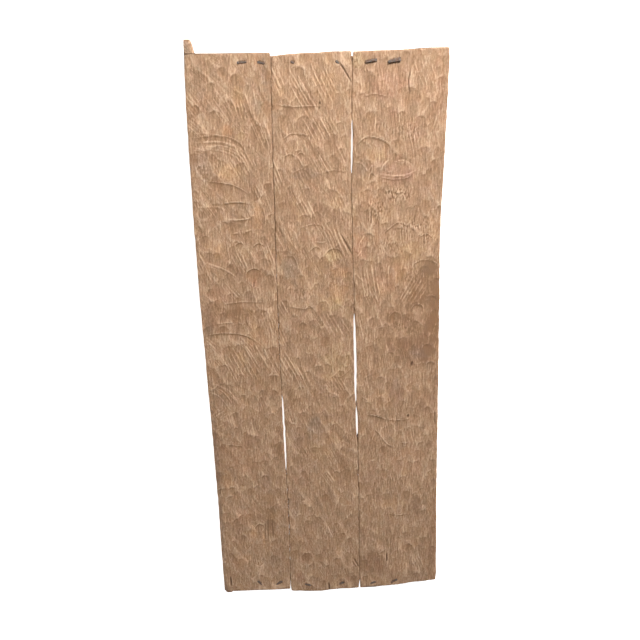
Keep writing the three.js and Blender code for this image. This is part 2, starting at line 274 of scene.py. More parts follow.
    def bundle(self, points, count, pitch, rise):
        """Blade lines side by side: copies of one line of points, each further to its right."""
        points = np.array(points, float)
        along = points[-1] - points[0]
        sideways = np.array((along[1], -along[0])) / np.hypot(*along)
        for number in range(count):
            shift = pitch * (number + self.draw.uniform(-0.25, 0.25))
            slide = along * self.draw.uniform(-0.12, 0.12)
            jitter = self.draw.normal(size=points.shape) * 0.5
            self.crease(points + sideways * shift + slide + jitter, 1.15, rise * self.draw.uniform(0.6, 1.1))

    def spot(self, x, y, wide, high, shade=0.0, warm=0.0, red=0.0):
        """A soft-edged patch: lighter or darker, orange or grey, reddish or greenish."""
        rows, columns = self.window(x, y, 1.6 * max(wide, high))
        dx, dy = self.x[:, columns] - x, self.y[rows] - y
        if dx.size == 0 or dy.size == 0:
            return
        away = np.hypot(dx / wide, dy / high)
        size = max(6.0, 0.5 * min(wide, high))
        away = away * (1 + 0.22 * wander(dx, dy, size, int(abs(x * 7 + y))))
        soft = np.clip(1.6 - 1.25 * away, 0, 1)
        soft = soft * soft * (3 - 2 * soft)
        self.shade[rows, columns] += shade * soft
        self.warm[rows, columns] += warm * soft
        self.red[rows, columns] += red * soft

    def torn(self, x, y, wide, high, strength):
        """A patch of torn grain: short splinters and pits."""
        rows, columns = self.window(x, y, 1.6 * max(wide, high))
        dx, dy = self.x[:, columns] - x, self.y[rows] - y
        soft = np.clip(1.5 - 1.3 * np.hypot(dx / wide, dy / high), 0, 1)
        rough = blur(self.draw.normal(size=soft.shape), 1.1, 2.2)
        rough = rough / rough.std()
        self.depth[rows, columns] += strength * soft * (0.5 * rough + 0.35 * abs(rough))

    def finish(self):
        """Wears the crests, keeps the surface under the face, and works out the wood's tone: crests lighter and hollows
        darker, partly wear and patina and partly painted highlight and painted shade, plus random tone and stains.
        """
        self.depth = np.maximum(blur(self.depth, WEAR_BLUR / RASTER), 0.05)
        fine = blur(self.depth, 1.5 / RASTER)
        close = blur(self.depth, 4.4 / RASTER)
        broad = blur(self.depth, 17 / RASTER)
        # Crests lighter and hollows darker at three sizes: partly wear and patina, partly painted highlight and painted
        # shade on the relief.
        crest_wear_and_shading, ridge_wear_and_shading, dish_shading = fine - self.depth, close - self.depth, broad - close
        self.level = 0.12 * crest_wear_and_shading / crest_wear_and_shading.std() + 0.08 * ridge_wear_and_shading / ridge_wear_and_shading.std() + 0.05 * dish_shading / dish_shading.std()
        self.level += 0.06 * blur(self.tone, 1.0) + self.shade
        self.warm += 0.15 * blur(self.hue, 1.2)
        self.red -= 0.08 * blur(self.tone, 1.2)

    def sample(self, values, x, y):
        """A map's value at points, between the raster's cells."""
        i = np.clip((x - self.low[0]) / RASTER, 0, values.shape[1] - 1.001)
        j = np.clip((y - self.low[1]) / RASTER, 0, values.shape[0] - 1.001)
        i0, j0 = i.astype(int), j.astype(int)
        a, b = i - i0, j - j0
        lower = values[j0, i0] * (1 - a) + values[j0, i0 + 1] * a
        upper = values[j0 + 1, i0] * (1 - a) + values[j0 + 1, i0 + 1] * a
        return lower * (1 - b) + upper * b


# Ridges and grooves that stand out, as lines of places on the face: points, width, rise
LEFT_LINES = (
    (((-178, 0), (-150, -52)), 1.5, 0.8), (((-160, 8), (-126, -60)), 1.5, 0.9),
    (((-142, 2), (-108, -72)), 1.5, 0.8), (((-127, -8), (-104, -62)), 1.4, 0.7),
    (((-186, -12), (-168, -44)), 1.4, 0.6), (((-262, 197), (-215, 178), (-188, 158)), 1.6, 0.9),
    (((-205, 288), (-180, 287), (-153, 290)), 1.5, 1.0), (((-195, 258), (-172, 259), (-153, 265)), 1.5, 1.0),
    (((-270, 317), (-225, 317), (-205, 308)), 1.5, 0.7), (((-208, 240), (-203, 186)), 1.4, 0.7),
    (((-178, 216), (-165, 180)), 1.4, 0.8), (((-190, 226), (-178, 192)), 1.4, 0.6),
    (((-272, 214), (-254, 184)), 1.4, 0.7), (((-262, 180), (-245, 150)), 1.3, 0.6),
    (((-215, 558), (-196, 528)), 1.3, 0.6), (((-196, 545), (-178, 505)), 1.3, 0.7),
    (((-186, 548), (-170, 512)), 1.3, 0.6), (((-152, 550), (-140, 508)), 1.4, 0.8),
    (((-136, 560), (-128, 520)), 1.4, 0.7), (((-118, 500), (-104, 462)), 1.3, 0.7),
    (((-265, -88), (-245, -95), (-221, -111), (-200, -146)), 1.5, 0.8),
    (((-252, -100), (-232, -116), (-214, -148)), 1.3, 0.6), (((-262, -172), (-245, -160)), 1.4, 0.6),
    (((-222, -168), (-216, -196)), 1.6, 0.7), (((-262, -200), (-240, -190)), 1.3, 0.5),
    (((-119, 490), (-104, 430)), 1.3, 0.6), (((-122, 350), (-106, 300)), 1.4, 0.8),
    (((-116, 225), (-100, 180)), 1.4, 0.8), (((-112, 180), (-98, 130)), 1.3, 0.7),
)
MIDDLE_LINES = (
    (((-48, 588), (-22, 545), (2, 506)), 1.6, 0.9), (((-12, 604), (2, 570)), 1.5, 0.8),
    (((-30, 604), (-24, 580)), 1.4, 0.6), (((2, 500), (26, 458)), 1.5, 0.9), (((12, 508), (36, 462)), 1.4, 0.7),
    (((24, 500), (46, 462)), 1.4, 0.7), (((0, 421), (21, 384)), 1.4, 0.8), (((9, 418), (31, 384)), 1.4, 0.7),
    (((-95, 598), (-76, 552)), 1.4, 0.8), (((-86, 606), (-66, 556)), 1.3, 0.6), (((54, 441), (70, 408)), 1.3, 0.7),
    (((-97, 408), (-81, 366)), 1.4, 0.7), (((-90, 402), (-74, 352)), 1.4, 0.6), (((-47, 422), (-34, 398)), 1.5, 0.8),
    (((-26, 322), (-9, 286)), 1.4, 0.8), (((10, 254), (11, 244), (8, 234), (-16, 236)), 1.5, 0.9),
    (((-95, 290), (-80, 262)), 1.4, 0.7), (((-90, 274), (-64, 228)), 1.5, 0.8), (((34, 266), (66, 196)), 1.6, 0.9),
    (((47, 262), (70, 214)), 1.4, 0.7), (((26, 262), (56, 188)), 1.4, 0.6), (((14, 76), (46, 20)), 1.4, 0.6),
    (((40, 62), (66, 18)), 1.4, 0.6), (((-96, 110), (-80, 76)), 1.4, 0.7), (((-50, -50), (-31, -100)), 1.7, 1.0),
    (((-66, -48), (-46, -86)), 1.5, 0.8), (((-78, -38), (-62, -64)), 1.4, 0.6), (((-86, -150), (-74, -196)), 1.4, 0.6),
    (((2, -320), (21, -352)), 1.4, 0.7), (((12, -318), (26, -344)), 1.4, 0.5), (((0, -470), (11, -502)), 1.4, 0.6),
    (((-92, -408), (-76, -438)), 1.4, 0.5), (((36, -616), (56, -642)), 1.5, 0.7), (((-32, -434), (-20, -452)), 1.4, 0.6),
)
RIGHT_LINES = (
    (((75, 406), (92, 402), (101, 391), (106, 382)), 1.5, 0.9), (((105, 384), (115, 396), (112, 372)), 1.5, 0.8),
    (((134, 384), (140, 398), (152, 408)), 1.6, 1.0), (((130, 379), (160, 374), (190, 376), (212, 386)), 1.5, 1.0),
    (((80, 200), (92, 214)), 1.5, 0.8), (((84, 226), (97, 246)), 1.5, 0.9), (((75, 162), (98, 140)), 1.5, 0.8),
    (((206, 92), (226, 124), (238, 142)), 1.5, 0.8), (((216, 92), (236, 122)), 1.4, 0.6),
    (((150, 182), (151, 124)), 1.4, 0.7), (((205, 202), (206, 152)), 1.4, 0.8), (((195, 262), (196, 228)), 1.5, 0.8),
    (((124, 140), (132, 112)), 1.5, 0.9), (((135, 142), (146, 108)), 1.5, 0.9), (((113, 178), (116, 158)), 1.8, 1.0),
    (((252, 14), (262, 44)), 1.4, 0.5), (((96, -2), (104, 28)), 1.3, 0.5), (((144, -206), (146, -226)), 1.5, 0.6),
    (((112, -244), (118, -226)), 1.5, 0.6), (((240, 600), (252, 566)), 1.3, 0.6), (((246, 470), (254, 500)), 1.3, 0.7),
    (((149, -556), (150, -600)), 1.5, 0.6), (((120, 470), (124, 500)), 1.3, 0.6), (((160, 560), (164, 596)), 1.4, 0.7),
)
# Steps where a chip broke off: points, drop to the left of the line, reach
LEFT_LEDGES = (
    (((-153, 322), (-185, 325), (-216, 322)), 1.5, 9), (((-150, 290), (-180, 287), (-206, 289)), 1.0, 10),
    (((-152, 264), (-196, 257)), 1.0, 10), (((-125, 270), (-122, 292), (-128, 318)), 0.9, 7),
    (((-136, 172), (-150, 179), (-166, 172), (-170, 158)), 1.5, 8), (((-124, 228), (-138, 235), (-151, 228)), 1.2, 7),
    (((-169, 232), (-180, 238), (-192, 230)), 1.2, 7), (((-145, 2), (-180, 25), (-230, 31), (-272, 27)), 1.2, 11),
    (((-130, 101), (-180, 103), (-230, 99)), 0.9, 9), (((-205, 56), (-245, 54)), 0.9, 8),
    (((-148, 400), (-166, 446), (-210, 465), (-272, 461)), 0.9, 12), (((-150, 340), (-190, 362), (-250, 372)), 0.9, 10),
    (((-155, -468), (-168, -458), (-182, -470)), 0.9, 8), (((-200, -250), (-236, -244)), 0.9, 9),
    (((-186, -570), (-172, -576), (-162, -566)), 0.8, 8),
)
MIDDLE_LEDGES = (
    (((-18, 461), (-44, 465), (-60, 465), (-76, 454)), 1.1, 10), (((2, 521), (-52, 520), (-92, 526)), 1.1, 8),
    (((-50, 418), (-62, 424), (-76, 418)), 1.0, 7), (((-30, 420), (-38, 427), (-47, 421)), 1.0, 6),
    (((8, 252), (2, 270), (-18, 273), (-36, 268)), 1.0, 8), (((2, 216), (-12, 224), (-26, 214)), 0.9, 7),
    (((46, 204), (40, 216), (22, 218), (8, 206)), 1.2, 8), (((-52, 176), (-62, 202), (-84, 205)), 1.0, 9),
    (((-18, 88), (-40, 84), (-62, 86), (-78, 92)), 0.9, 8), (((-18, 78), (-30, 90), (-43, 76)), 0.9, 7),
    (((-34, 44), (-46, 52), (-58, 42)), 0.9, 7), (((66, -60), (40, -82), (16, -76)), 0.6, 9),
    (((-14, 372), (-34, 392), (-58, 384)), 0.7, 9), (((60, 384), (34, 388), (8, 384)), 0.8, 7),
)
RIGHT_LEDGES = (
    (((158, 428), (148, 442), (128, 452), (102, 455), (80, 438)), 1.4, 9),
    (((122, 374), (112, 380), (108, 366)), 1.3, 7), (((206, 380), (190, 368), (160, 366), (130, 372)), 1.0, 8),
    (((162, 404), (182, 408), (204, 396)), 0.8, 8), (((265, 176), (238, 188), (212, 182), (203, 168)), 1.0, 10),
    (((232, 62), (228, 82), (212, 86), (202, 74)), 1.2, 8), (((176, 66), (164, 70), (152, 58)), 1.2, 8),
    (((146, -193), (124, -184), (100, -179)), 1.5, 8), (((204, -193), (176, -196), (146, -192)), 1.0, 7),
    (((166, -266), (146, -254), (128, -228), (114, -216)), 1.2, 8), (((200, -256), (180, -254)), 1.0, 6),
    (((196, 262), (172, 272), (140, 250)), 1.0, 8), (((196, -446), (172, -448), (154, -444)), 0.9, 7),
    (((150, 536), (122, 542), (96, 538)), 0.8, 7), (((254, 232), (236, 246), (218, 238)), 1.2, 7),
)
# Cracks, holes and slots: points, width, depth, and how dark they are painted (painted shade)
CRACKS = {
    "left_plank": ((((-249, -604), (-248, -632)), 1.7, 3.0, 0.8), (((-137, -445), (-136, -500)), 1.2, 0.8, 0.5), (((-147, -440), (-149, -500)), 1.2, 0.7, 0.45),
                   (((-155, -452), (-156, -505)), 1.1, 0.6, 0.4), (((-152, 150), (-154, 136)), 1.6, 0.9, 0.5)),
    "middle_plank": ((((46, 607), (56, 594), (73, 566)), 1.2, 2.2, 0.9), (((44, 252), (57, 228), (70, 204)), 1.2, 1.8, 0.7),
                     (((5, 529), (4, 525)), 2.0, 1.6, 0.9), (((2, 519), (4, 516)), 1.5, 1.2, 0.7),
                     (((64, -564), (78, -592)), 1.2, 1.6, 0.6), (((60, -572), (70, -590)), 1.1, 1.0, 0.5),
                     (((0, -632), (1, -655)), 1.8, 2.5, 0.7)),
    "right_plank": ((((207, -50), (205, -60)), 2.0, 2.4, 0.9), (((199, -182), (197, -188)), 2.2, 2.4, 0.9),
                    (((148, -553), (148, -577)), 1.5, 2.2, 0.8), (((196, 590), (192, 566), (196, 540)), 1.5, 1.2, 0.5),
                    (((112, 300), (112, 272)), 1.3, 1.2, 0.6), (((262, -172), (264, -210)), 1.4, 0.8, 0.3)),
}
LINES = {"left_plank": LEFT_LINES, "middle_plank": MIDDLE_LINES, "right_plank": RIGHT_LINES}
LEDGES = {"left_plank": LEFT_LEDGES, "middle_plank": MIDDLE_LEDGES, "right_plank": RIGHT_LEDGES}


# Blade lines in bundles: points of the first line, how many, how far apart, height
LEFT_BUNDLES = (
    (((-268, 463), (-215, 464), (-172, 445), (-150, 405)), 6, 5.0, 0.7),
    (((-272, 448), (-240, 438), (-214, 414), (-200, 380)), 4, 6.0, 0.5),
    (((-182, 0), (-148, -74)), 8, 8.5, 0.9), (((-215, 560), (-176, 500)), 5, 6.5, 0.7),
    (((-160, 545), (-148, 500)), 4, 6.5, 0.7), (((-270, 560), (-236, 512)), 5, 6.0, 0.6),
    (((-270, 505), (-230, 470)), 5, 5.5, 0.6), (((-128, 500), (-104, 440)), 4, 6.0, 0.7),
    (((-180, 440), (-150, 385)), 5, 6.0, 0.7), (((-246, 336), (-222, 300)), 6, 4.6, 0.7),
    (((-272, 350), (-250, 312)), 4, 5.0, 0.6), (((-135, 380), (-112, 330)), 4, 6.0, 0.6),
    (((-184, 225), (-164, 182)), 4, 6.5, 0.8), (((-274, 222), (-250, 160)), 4, 6.0, 0.7),
    (((-122, 240), (-102, 180)), 3, 6.0, 0.8), (((-210, 150), (-180, 108)), 4, 6.0, 0.6),
    (((-192, 26), (-168, 4), (-156, -18)), 4, 5.0, 0.7), (((-270, 26), (-244, 0)), 5, 5.5, 0.6),
    (((-262, -92), (-234, -104), (-206, -142)), 5, 5.5, 0.7), (((-150, -100), (-126, -150)), 4, 7.0, 0.5),
    (((-262, -165), (-240, -150)), 4, 7.0, 0.6), (((-222, -160), (-214, -200)), 3, 6.0, 0.7),
    (((-176, -184), (-168, -220)), 4, 7.0, 0.5), (((-120, 90), (-100, 20)), 4, 6.5, 0.7),
)
MIDDLE_BUNDLES = (
    (((-48, 592), (-22, 548), (2, 506)), 4, 7.5, 1.0), (((0, 506), (26, 456)), 6, 8.0, 1.0),
    (((-96, 600), (-74, 548)), 5, 6.5, 0.8), (((14, 600), (44, 540)), 5, 8.0, 0.8),
    (((0, 424), (24, 380)), 6, 5.5, 0.8), (((46, 455), (68, 405)), 3, 6.0, 0.8),
    (((-98, 410), (-76, 350)), 5, 6.5, 0.8), (((-34, 400), (-14, 350)), 4, 7.0, 0.6),
    (((-96, 300), (-62, 226)), 4, 7.0, 0.9), (((-34, 336), (-10, 288)), 4, 7.0, 0.8),
    (((28, 268), (58, 190)), 4, 7.5, 1.0), (((0, 290), (26, 250)), 4, 6.5, 0.7),
    (((44, 340), (66, 290)), 3, 6.5, 0.7), (((12, 84), (44, 22)), 4, 8.0, 0.7),
    (((-98, 110), (-78, 70)), 4, 5.5, 0.8), (((-98, 46), (-78, -6)), 4, 5.5, 0.7),
    (((-90, -16), (-60, -74)), 5, 7.5, 0.9), (((-56, -44), (-32, -104)), 4, 7.0, 1.0),
    (((-92, -150), (-76, -196)), 3, 6.0, 0.6), (((-44, -150), (-22, -196)), 4, 6.5, 0.6),
    (((30, -70), (58, -120)), 4, 6.5, 0.6), (((-44, -250), (-26, -286)), 4, 6.0, 0.5),
    (((12, -256), (34, -300)), 4, 6.5, 0.5), (((-2, -316), (22, -356)), 4, 5.5, 0.7),
    (((-92, -404), (-72, -444)), 3, 6.0, 0.5), (((0, -468), (14, -504)), 3, 6.0, 0.5),
    (((28, -612), (56, -646)), 3, 6.0, 0.6),
)
RIGHT_BUNDLES = (
    (((118, 182), (130, 106)), 5, 8.0, 0.9), (((110, 132), (126, 96)), 4, 7.0, 0.7),
    (((236, 142), (200, 82)), 5, 7.0, 0.8), (((196, 280), (200, 226)), 4, 7.0, 0.6),
    (((156, 442), (160, 384)), 4, 9.0, 0.5), (((226, 606), (246, 560)), 4, 7.0, 0.5),
    (((216, 470), (228, 414)), 4, 7.5, 0.6), (((176, 520), (184, 462)), 4, 7.0, 0.6),
    (((86, 540), (96, 496)), 3, 7.0, 0.6), (((84, 60), (94, 6)), 3, 7.0, 0.6),
    (((252, 12), (264, 52)), 3, 5.0, 0.5), (((94, -72), (104, -120)), 4, 8.0, 0.5),
    (((148, -200), (156, -244)), 4, 8.0, 0.5), (((208, -210), (220, -262)), 4, 8.0, 0.5),
    (((176, -322), (190, -376)), 4, 8.0, 0.5), (((226, -560), (248, -606)), 4, 7.0, 0.5),
    (((152, -556), (156, -600)), 4, 7.0, 0.4),
)
# Patches of colour: x, y, half width, half height, lighter or darker, orange or grey, reddish. The long narrow strips
# at the outer edges are painted shade on the rounded arris, partly greyed by weathering.
LEFT_SPOTS = (
    (-195, 477, 14, 12, 0.1, 1.0, 0.6), (-165, 463, 10, 12, 0.2, 0.9, -0.3), (-196, 390, 25, 18, 0.14, 1.0, -0.2),
    (-168, 540, 12, 26, 0.14, 0.8, -0.3), (-255, 402, 20, 26, 0.06, -0.9, 0.0), (-137, 295, 13, 30, 0.14, 1.0, 0.2),
    (-152, 145, 7, 10, 0.0, 0.4, 1.2), (-150, 162, 22, 15, -0.22, 0.3, 0.4), (-190, 76, 40, 16, -0.24, 0.4, 0.1),
    # The strip at x -264 is painted shade on the rounded outer arris, greyed by weathering.
    (-264, -400, 7, 260, -0.2, -0.9, 0.0), (-115, -270, 12, 22, -0.2, 0.2, 0.0), (-130, -250, 10, 8, -0.2, 0.3, 0.0),
    (-140, -450, 12, 52, -0.24, 0.4, 0.0), (-184, -484, 8, 22, 0.1, 0.9, 0.2), (-160, -500, 5, 22, 0.08, 0.9, 0.2),
    (-175, -567, 10, 10, 0.16, 0.5, 0.0), (-176, 306, 22, 14, -0.1, -0.2, 0.0), (-178, 272, 22, 12, -0.14, -0.1, 0.0),
    (-110, 590, 7, 32, -0.04, -0.9, 0.0), (-128, 524, 10, 18, -0.08, -0.8, -0.3), (-250, 580, 16, 40, -0.08, -0.4, 0.0),
    (-225, 215, 15, 14, 0.05, 0.4, 0.0), (-236, 230, 22, 16, 0.06, 0.7, 0.0), (-150, 20, 26, 30, 0.02, 0.7, 0.2),
    (-192, -32, 12, 20, 0.14, 0.8, -0.2), (-240, 70, 24, 30, -0.12, 0.1, 0.3), (-230, 120, 30, 22, -0.06, 0.2, 0.5),
    (-250, -130, 18, 26, -0.08, -0.6, 0.0), (-200, -290, 40, 40, -0.04, 0.2, 0.4), (-240, -340, 12, 30, 0.0, 0.9, 0.2),
    (-150, -340, 20, 24, -0.06, -0.6, 0.0), (-204, -440, 30, 24, 0.04, 0.4, 0.5), (-218, -560, 26, 26, 0.0, 0.6, 0.2),
    (-130, -560, 16, 40, -0.06, -0.4, 0.0), (-270, 640, 8, 16, -0.12, -1.0, 0.0), (-266, -645, 8, 12, -0.25, -0.8, 0.0),
    (-146, 214, 12, 12, 0.1, 0.4, 0.2), (-262, 60, 10, 60, -0.14, -0.5, 0.0), (-262, -260, 8, 70, -0.1, -0.3, 0.3),
)
MIDDLE_SPOTS = (
    (-55, 325, 6, 14, 0.16, 0.8, -0.3), (-45, 288, 6, 13, 0.16, 0.8, -0.3), (-65, 270, 8, 11, 0.2, 0.2, 0.2),
    (28, 202, 22, 15, 0.14, 0.9, -1.0), (40, 165, 20, 12, 0.06, 1.1, 0.4), (22, 92, 30, 16, 0.1, 0.8, -0.7),
    (-70, 178, 22, 28, -0.1, -1.0, -0.3), (-30, 382, 30, 14, -0.05, -0.9, 0.0), (30, -50, 34, 50, 0.08, 0.6, -0.5),
    (-78, -130, 10, 22, -0.35, 0.2, 0.0), (-25, -205, 20, 26, -0.06, -1.2, -0.2), (-72, -614, 14, 16, -0.16, -0.2, 0.8),
    (-80, 560, 12, 24, 0.1, 0.6, 0.1), (20, 560, 24, 36, 0.06, 0.5, 0.0), (-10, 178, 18, 20, 0.02, 0.4, -0.2),
    (36, 320, 14, 18, 0.1, 0.6, -0.2), (-54, 120, 26, 20, 0.04, 0.1, 0.2), (36, 120, 20, 24, 0.1, 1.0, 0.1),
    (-36, 64, 22, 22, -0.02, -0.1, 0.3), (-84, 20, 10, 60, -0.06, -0.3, 0.0), (0, -180, 26, 10, -0.08, -0.4, 0.0),
    (-70, -230, 20, 30, 0.0, -0.7, 0.2), (20, -230, 26, 20, 0.0, 0.5, 0.0), (-10, -270, 30, 22, 0.05, 0.5, -0.2),
    (-60, -330, 26, 30, -0.04, -0.2, 0.4), (40, -330, 24, 30, -0.02, 0.3, 0.0), (-80, -410, 14, 40, -0.08, -0.5, 0.0),
    (10, -500, 26, 40, 0.0, -0.1, 0.0), (28, -535, 8, 14, 0.14, 0.2, 0.0), (24, -572, 10, 14, 0.12, 0.1, 0.6),
    (-50, -520, 26, 40, -0.05, 0.2, 0.2), (-90, -600, 6, 40, -0.1, -0.4, 0.0), (-20, -600, 24, 26, -0.04, 0.1, 0.0),
    (50, -620, 18, 20, -0.08, -0.1, 0.2), (44, 60, 22, 20, -0.02, -0.2, 0.0), (10, 345, 20, 10, -0.1, -0.2, 0.0),
    (-86, 270, 8, 30, -0.08, -0.3, 0.0), (62, 238, 7, 26, -0.1, 0.0, 0.0), (-24, 240, 20, 14, 0.02, -0.2, 0.5),
)
RIGHT_SPOTS = (
    # The strip at x 262 is painted shade on the rounded outer arris.
    (88, 610, 14, 16, 0.12, 0.7, -0.8), (236, 110, 46, 76, -0.26, 0.2, 0.1), (262, 100, 12, 76, -0.4, 0.3, 0.2),
    (230, 10, 60, 60, -0.26, 0.1, 0.2), (150, 22, 30, 44, -0.14, 0.1, 0.2), (215, 70, 14, 15, 0.24, -0.2, 0.1),
    (163, 58, 18, 16, -0.3, 0.1, 0.0), (210, -24, 70, 34, -0.2, 0.0, 0.3), (222, -28, 18, 20, 0.12, -1.1, 0.0),
    (170, -118, 18, 28, -0.14, -0.9, 0.5), (88, 220, 16, 34, 0.02, 0.3, 1.0), (145, -420, 60, 22, 0.12, 0.3, 0.0),
    # The strip at x 262 is painted shade on the rounded outer arris.
    (230, -424, 24, 26, -0.12, -0.5, 0.0), (262, -550, 14, 110, -0.18, 0.2, 0.3), (110, -580, 32, 42, -0.22, -0.1, 0.3),
    (150, 560, 40, 40, 0.05, -0.1, 0.9), (170, 380, 46, 26, 0.0, -0.4, 0.9), (92, 392, 16, 18, -0.12, -0.7, 0.0),
    (100, 440, 20, 12, -0.08, 0.1, -0.3), (120, 420, 24, 16, 0.06, 0.7, -0.2), (200, 210, 30, 30, 0.06, 0.8, -0.2),
    (180, 170, 20, 30, 0.06, 0.7, 0.0), (112, 178, 6, 14, 0.22, 0.3, 0.0), (140, 126, 16, 16, 0.14, 0.4, 0.2),
    (236, 170, 26, 16, -0.18, -0.2, -0.2), (250, 250, 14, 40, 0.08, 0.6, 0.1), (130, 290, 20, 26, 0.02, 0.4, 0.0),
    (100, 330, 20, 20, 0.0, 0.3, 0.3), (232, 350, 30, 20, -0.02, -0.2, 0.2), (210, 465, 20, 30, 0.04, -0.3, 0.6),
    (122, 28, 12, 14, 0.1, -0.1, 0.1), (120, -60, 12, 14, 0.1, 0.2, 0.0), (110, -50, 30, 40, 0.02, 0.3, 0.1),
    (130, -140, 30, 26, 0.02, 0.5, 0.0), (240, -140, 26, 50, -0.08, 0.2, 0.2), (110, -230, 26, 20, 0.04, 0.4, 0.1),
    (200, -300, 40, 40, 0.0, 0.1, 0.4), (120, -340, 30, 30, -0.04, -0.2, 0.2), (190, -530, 26, 20, 0.1, 0.1, 0.2),
    (180, -590, 24, 22, 0.08, 0.2, 0.2), (230, -620, 30, 20, -0.08, -0.4, 0.0), (256, 560, 14, 60, 0.06, 0.1, 0.4),
    (150, 150, 26, 40, -0.02, 0.1, 0.5), (250, 20, 20, 30, -0.08, 0.2, 0.2), (185, 70, 30, 20, -0.1, 0.0, 0.1),
)
# Torn grain: x, y, half width, half height, strength
TORN = {
    "left_plank": ((-140, 75, 30, 16, 0.5), (-150, 505, 30, 14, 0.4), (-175, 50, 40, 14, 0.4), (-250, 395, 20, 24, 0.4)),
    "middle_plank": ((30, 150, 28, 22, 0.5), (-40, 120, 34, 20, 0.4), (-10, 250, 20, 12, 0.3)),
    "right_plank": ((170, 338, 40, 20, 1.2), (126, 300, 28, 32, 1.0), (205, 268, 42, 22, 1.1), (240, 236, 24, 16, 0.9),
                    (86, 600, 14, 28, 0.7), (190, 470, 40, 30, 0.5), (210, 150, 30, 24, 0.5), (150, 220, 50, 24, 0.5),
                    (190, 40, 50, 30, 0.4)),
}
BUNDLES = {"left_plank": LEFT_BUNDLES, "middle_plank": MIDDLE_BUNDLES, "right_plank": RIGHT_BUNDLES}
SPOTS = {"left_plank": LEFT_SPOTS, "middle_plank": MIDDLE_SPOTS, "right_plank": RIGHT_SPOTS}
# Degrees from +X of the long blade lines at a plank's left and right side
LINE_ANGLE = {"left_plank": (128, 114), "middle_plank": (118, 120), "right_plank": (104, 92)}


def hew(name, low, high):
    """The whole face of one plank."""
    seed = sum(map(ord, name))
    face = HewnFace(low, high, seed)
    draw = face.draw
    places = []
    rows = int((high[1] - low[1]) / STROKE_PITCH[1]) + 3
    columns = int((high[0] - low[0]) / STROKE_PITCH[0]) + 3
    for layer in range(3):
        for row in range(rows):
            for column in range(columns):
                x = low[0] + (column - 0.7 + 0.5 * ((row + layer) % 2)) * STROKE_PITCH[0]
                y = low[1] + (row - 0.5 + 0.33 * layer) * STROKE_PITCH[1]
                places.append((x + draw.uniform(-14, 14), y + draw.uniform(-10, 10)))
    for number, (x, y) in enumerate(places):
        share = min(max((x - low[0]) / (high[0] - low[0]), 0), 1)
        lean = LINE_ANGLE[name][0] * (1 - share) + LINE_ANGLE[name][1] * share
        lean += 9 * float(wander(np.array(x), np.array(y), 90, seed)) + draw.normal() * 7
        kind = draw.random()
        if kind < 0.45:
            face.stroke(x, y, lean - 180 * (draw.random() < 0.3), draw.uniform(45, 95), draw.uniform(16, 34),
                        draw.uniform(0.8, 1.35), draw.uniform(0.35, 1.0), draw.uniform(3.2, 5.2), 0.3)
        elif kind < 0.8:
            face.stroke(x, y, 96 + draw.normal() * 16, draw.uniform(26, 52), draw.uniform(26, 46),
                        draw.uniform(1.0, 1.7), draw.uniform(0.0, 0.5), draw.uniform(2.6, 4.2), draw.uniform(0.6, 1.3))
        else:
            face.stroke(x, y, lean + draw.normal() * 30, draw.uniform(30, 60), draw.uniform(24, 44),
                        draw.uniform(0.9, 1.5), draw.uniform(0.0, 0.2), 4.0, draw.uniform(0.2, 0.9))
    face.depth += 0.6 + 0.15 * wander(face.x, face.y, 120, seed + 1)
    for points, drop, reach in LEDGES[name]:
        face.ledge(points, drop, reach)
    for points, count, pitch, rise in BUNDLES[name]:
        face.bundle(points, count, pitch, rise)
    for points, width, rise in LINES[name]:
        face.crease(points, width, rise)
    for patch in TORN[name]:
        face.torn(*patch)
    fibres = blur(draw.normal(size=face.depth.shape), 0.8, 5)
    lumps = blur(draw.normal(size=face.depth.shape), 1.2, 1.8)
    face.depth += 0.15 * fibres / fibres.std() + 0.12 * lumps / lumps.std()
    for points, width, depth, painted_shade_and_stain in CRACKS[name]:
        face.crease(points, width, -depth, painted_shade_and_stain)
    for patch in SPOTS[name]:
        face.spot(*patch)
    return face


def straight_on(places, values):
    """A function through values at places, which runs on straight beyond both ends."""
    start = (values[3] - values[0]) / (places[3] - places[0])
    stop = (values[-1] - values[-4]) / (places[-1] - places[-4])

    def value(at):
        inside = np.interp(at, places, values)
        return inside + np.minimum(at - places[0], 0) * start + np.maximum(at - places[-1], 0) * stop

    return value


def read_outline(name):
    """Side and end lines of a plank just under its worn edge, as functions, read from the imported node."""
    flat = slice_node(name, 2, FACE - OUTLINE_LEVEL)
    low, high = flat.reshape(-1, 3).min(0), flat.reshape(-1, 3).max(0)
    ends = (-632, 627) if name == PEGGED else (low[1] + 4, high[1] - 4)
    heights = np.linspace(ends[0] + 14, ends[1] - 14, 240)
    left, right = crossings(flat, 1, 0, heights)
    middle_x = np.linspace(left.min() + (38 if name == PEGGED else 12), right.max() - 9, 60)
    bottom, top = crossings(flat, 0, 1, middle_x)
    sides = [straight_on(heights, values) for values in (left, right)]
    return sides + [straight_on(middle_x, values) for values in (bottom, top)]


def tighten(outlines):
    """Brings neighbouring planks together where their joint is closed, and keeps the open stretches."""
    heights = np.linspace(-650, 650, 520)
    gaps = []
    for number, (first, second) in enumerate(zip(PLANKS, PLANKS[1:])):
        right, left = outlines[first][1](heights), outlines[second][0](heights)
        gap = left - right - SLOPE_GAP
        opened = np.clip((gap - 1.45) / 0.5, 0, 1)
        wanted = CLOSED_GAP * (1 - opened) + gap * opened
        middle = (left + right) / 2 + JOINT_WANDER * wander(heights, 0 * heights, 14, 70 + number)
        outlines[first][1] = straight_on(heights, middle - wanted / 2)
        outlines[second][0] = straight_on(heights, middle + wanted / 2)
        gaps.append(straight_on(heights, opened))
    return {"left_plank": (None, gaps[0]), "middle_plank": (gaps[0], gaps[1]), "right_plank": (gaps[1], None)}


def arris(distance, width, drop):
    """Quarter-round drop of a worn edge at a distance from it."""
    share = np.clip(1 - distance / width, 0, 1)
    return drop * (1 - np.sqrt(1 - share * share))


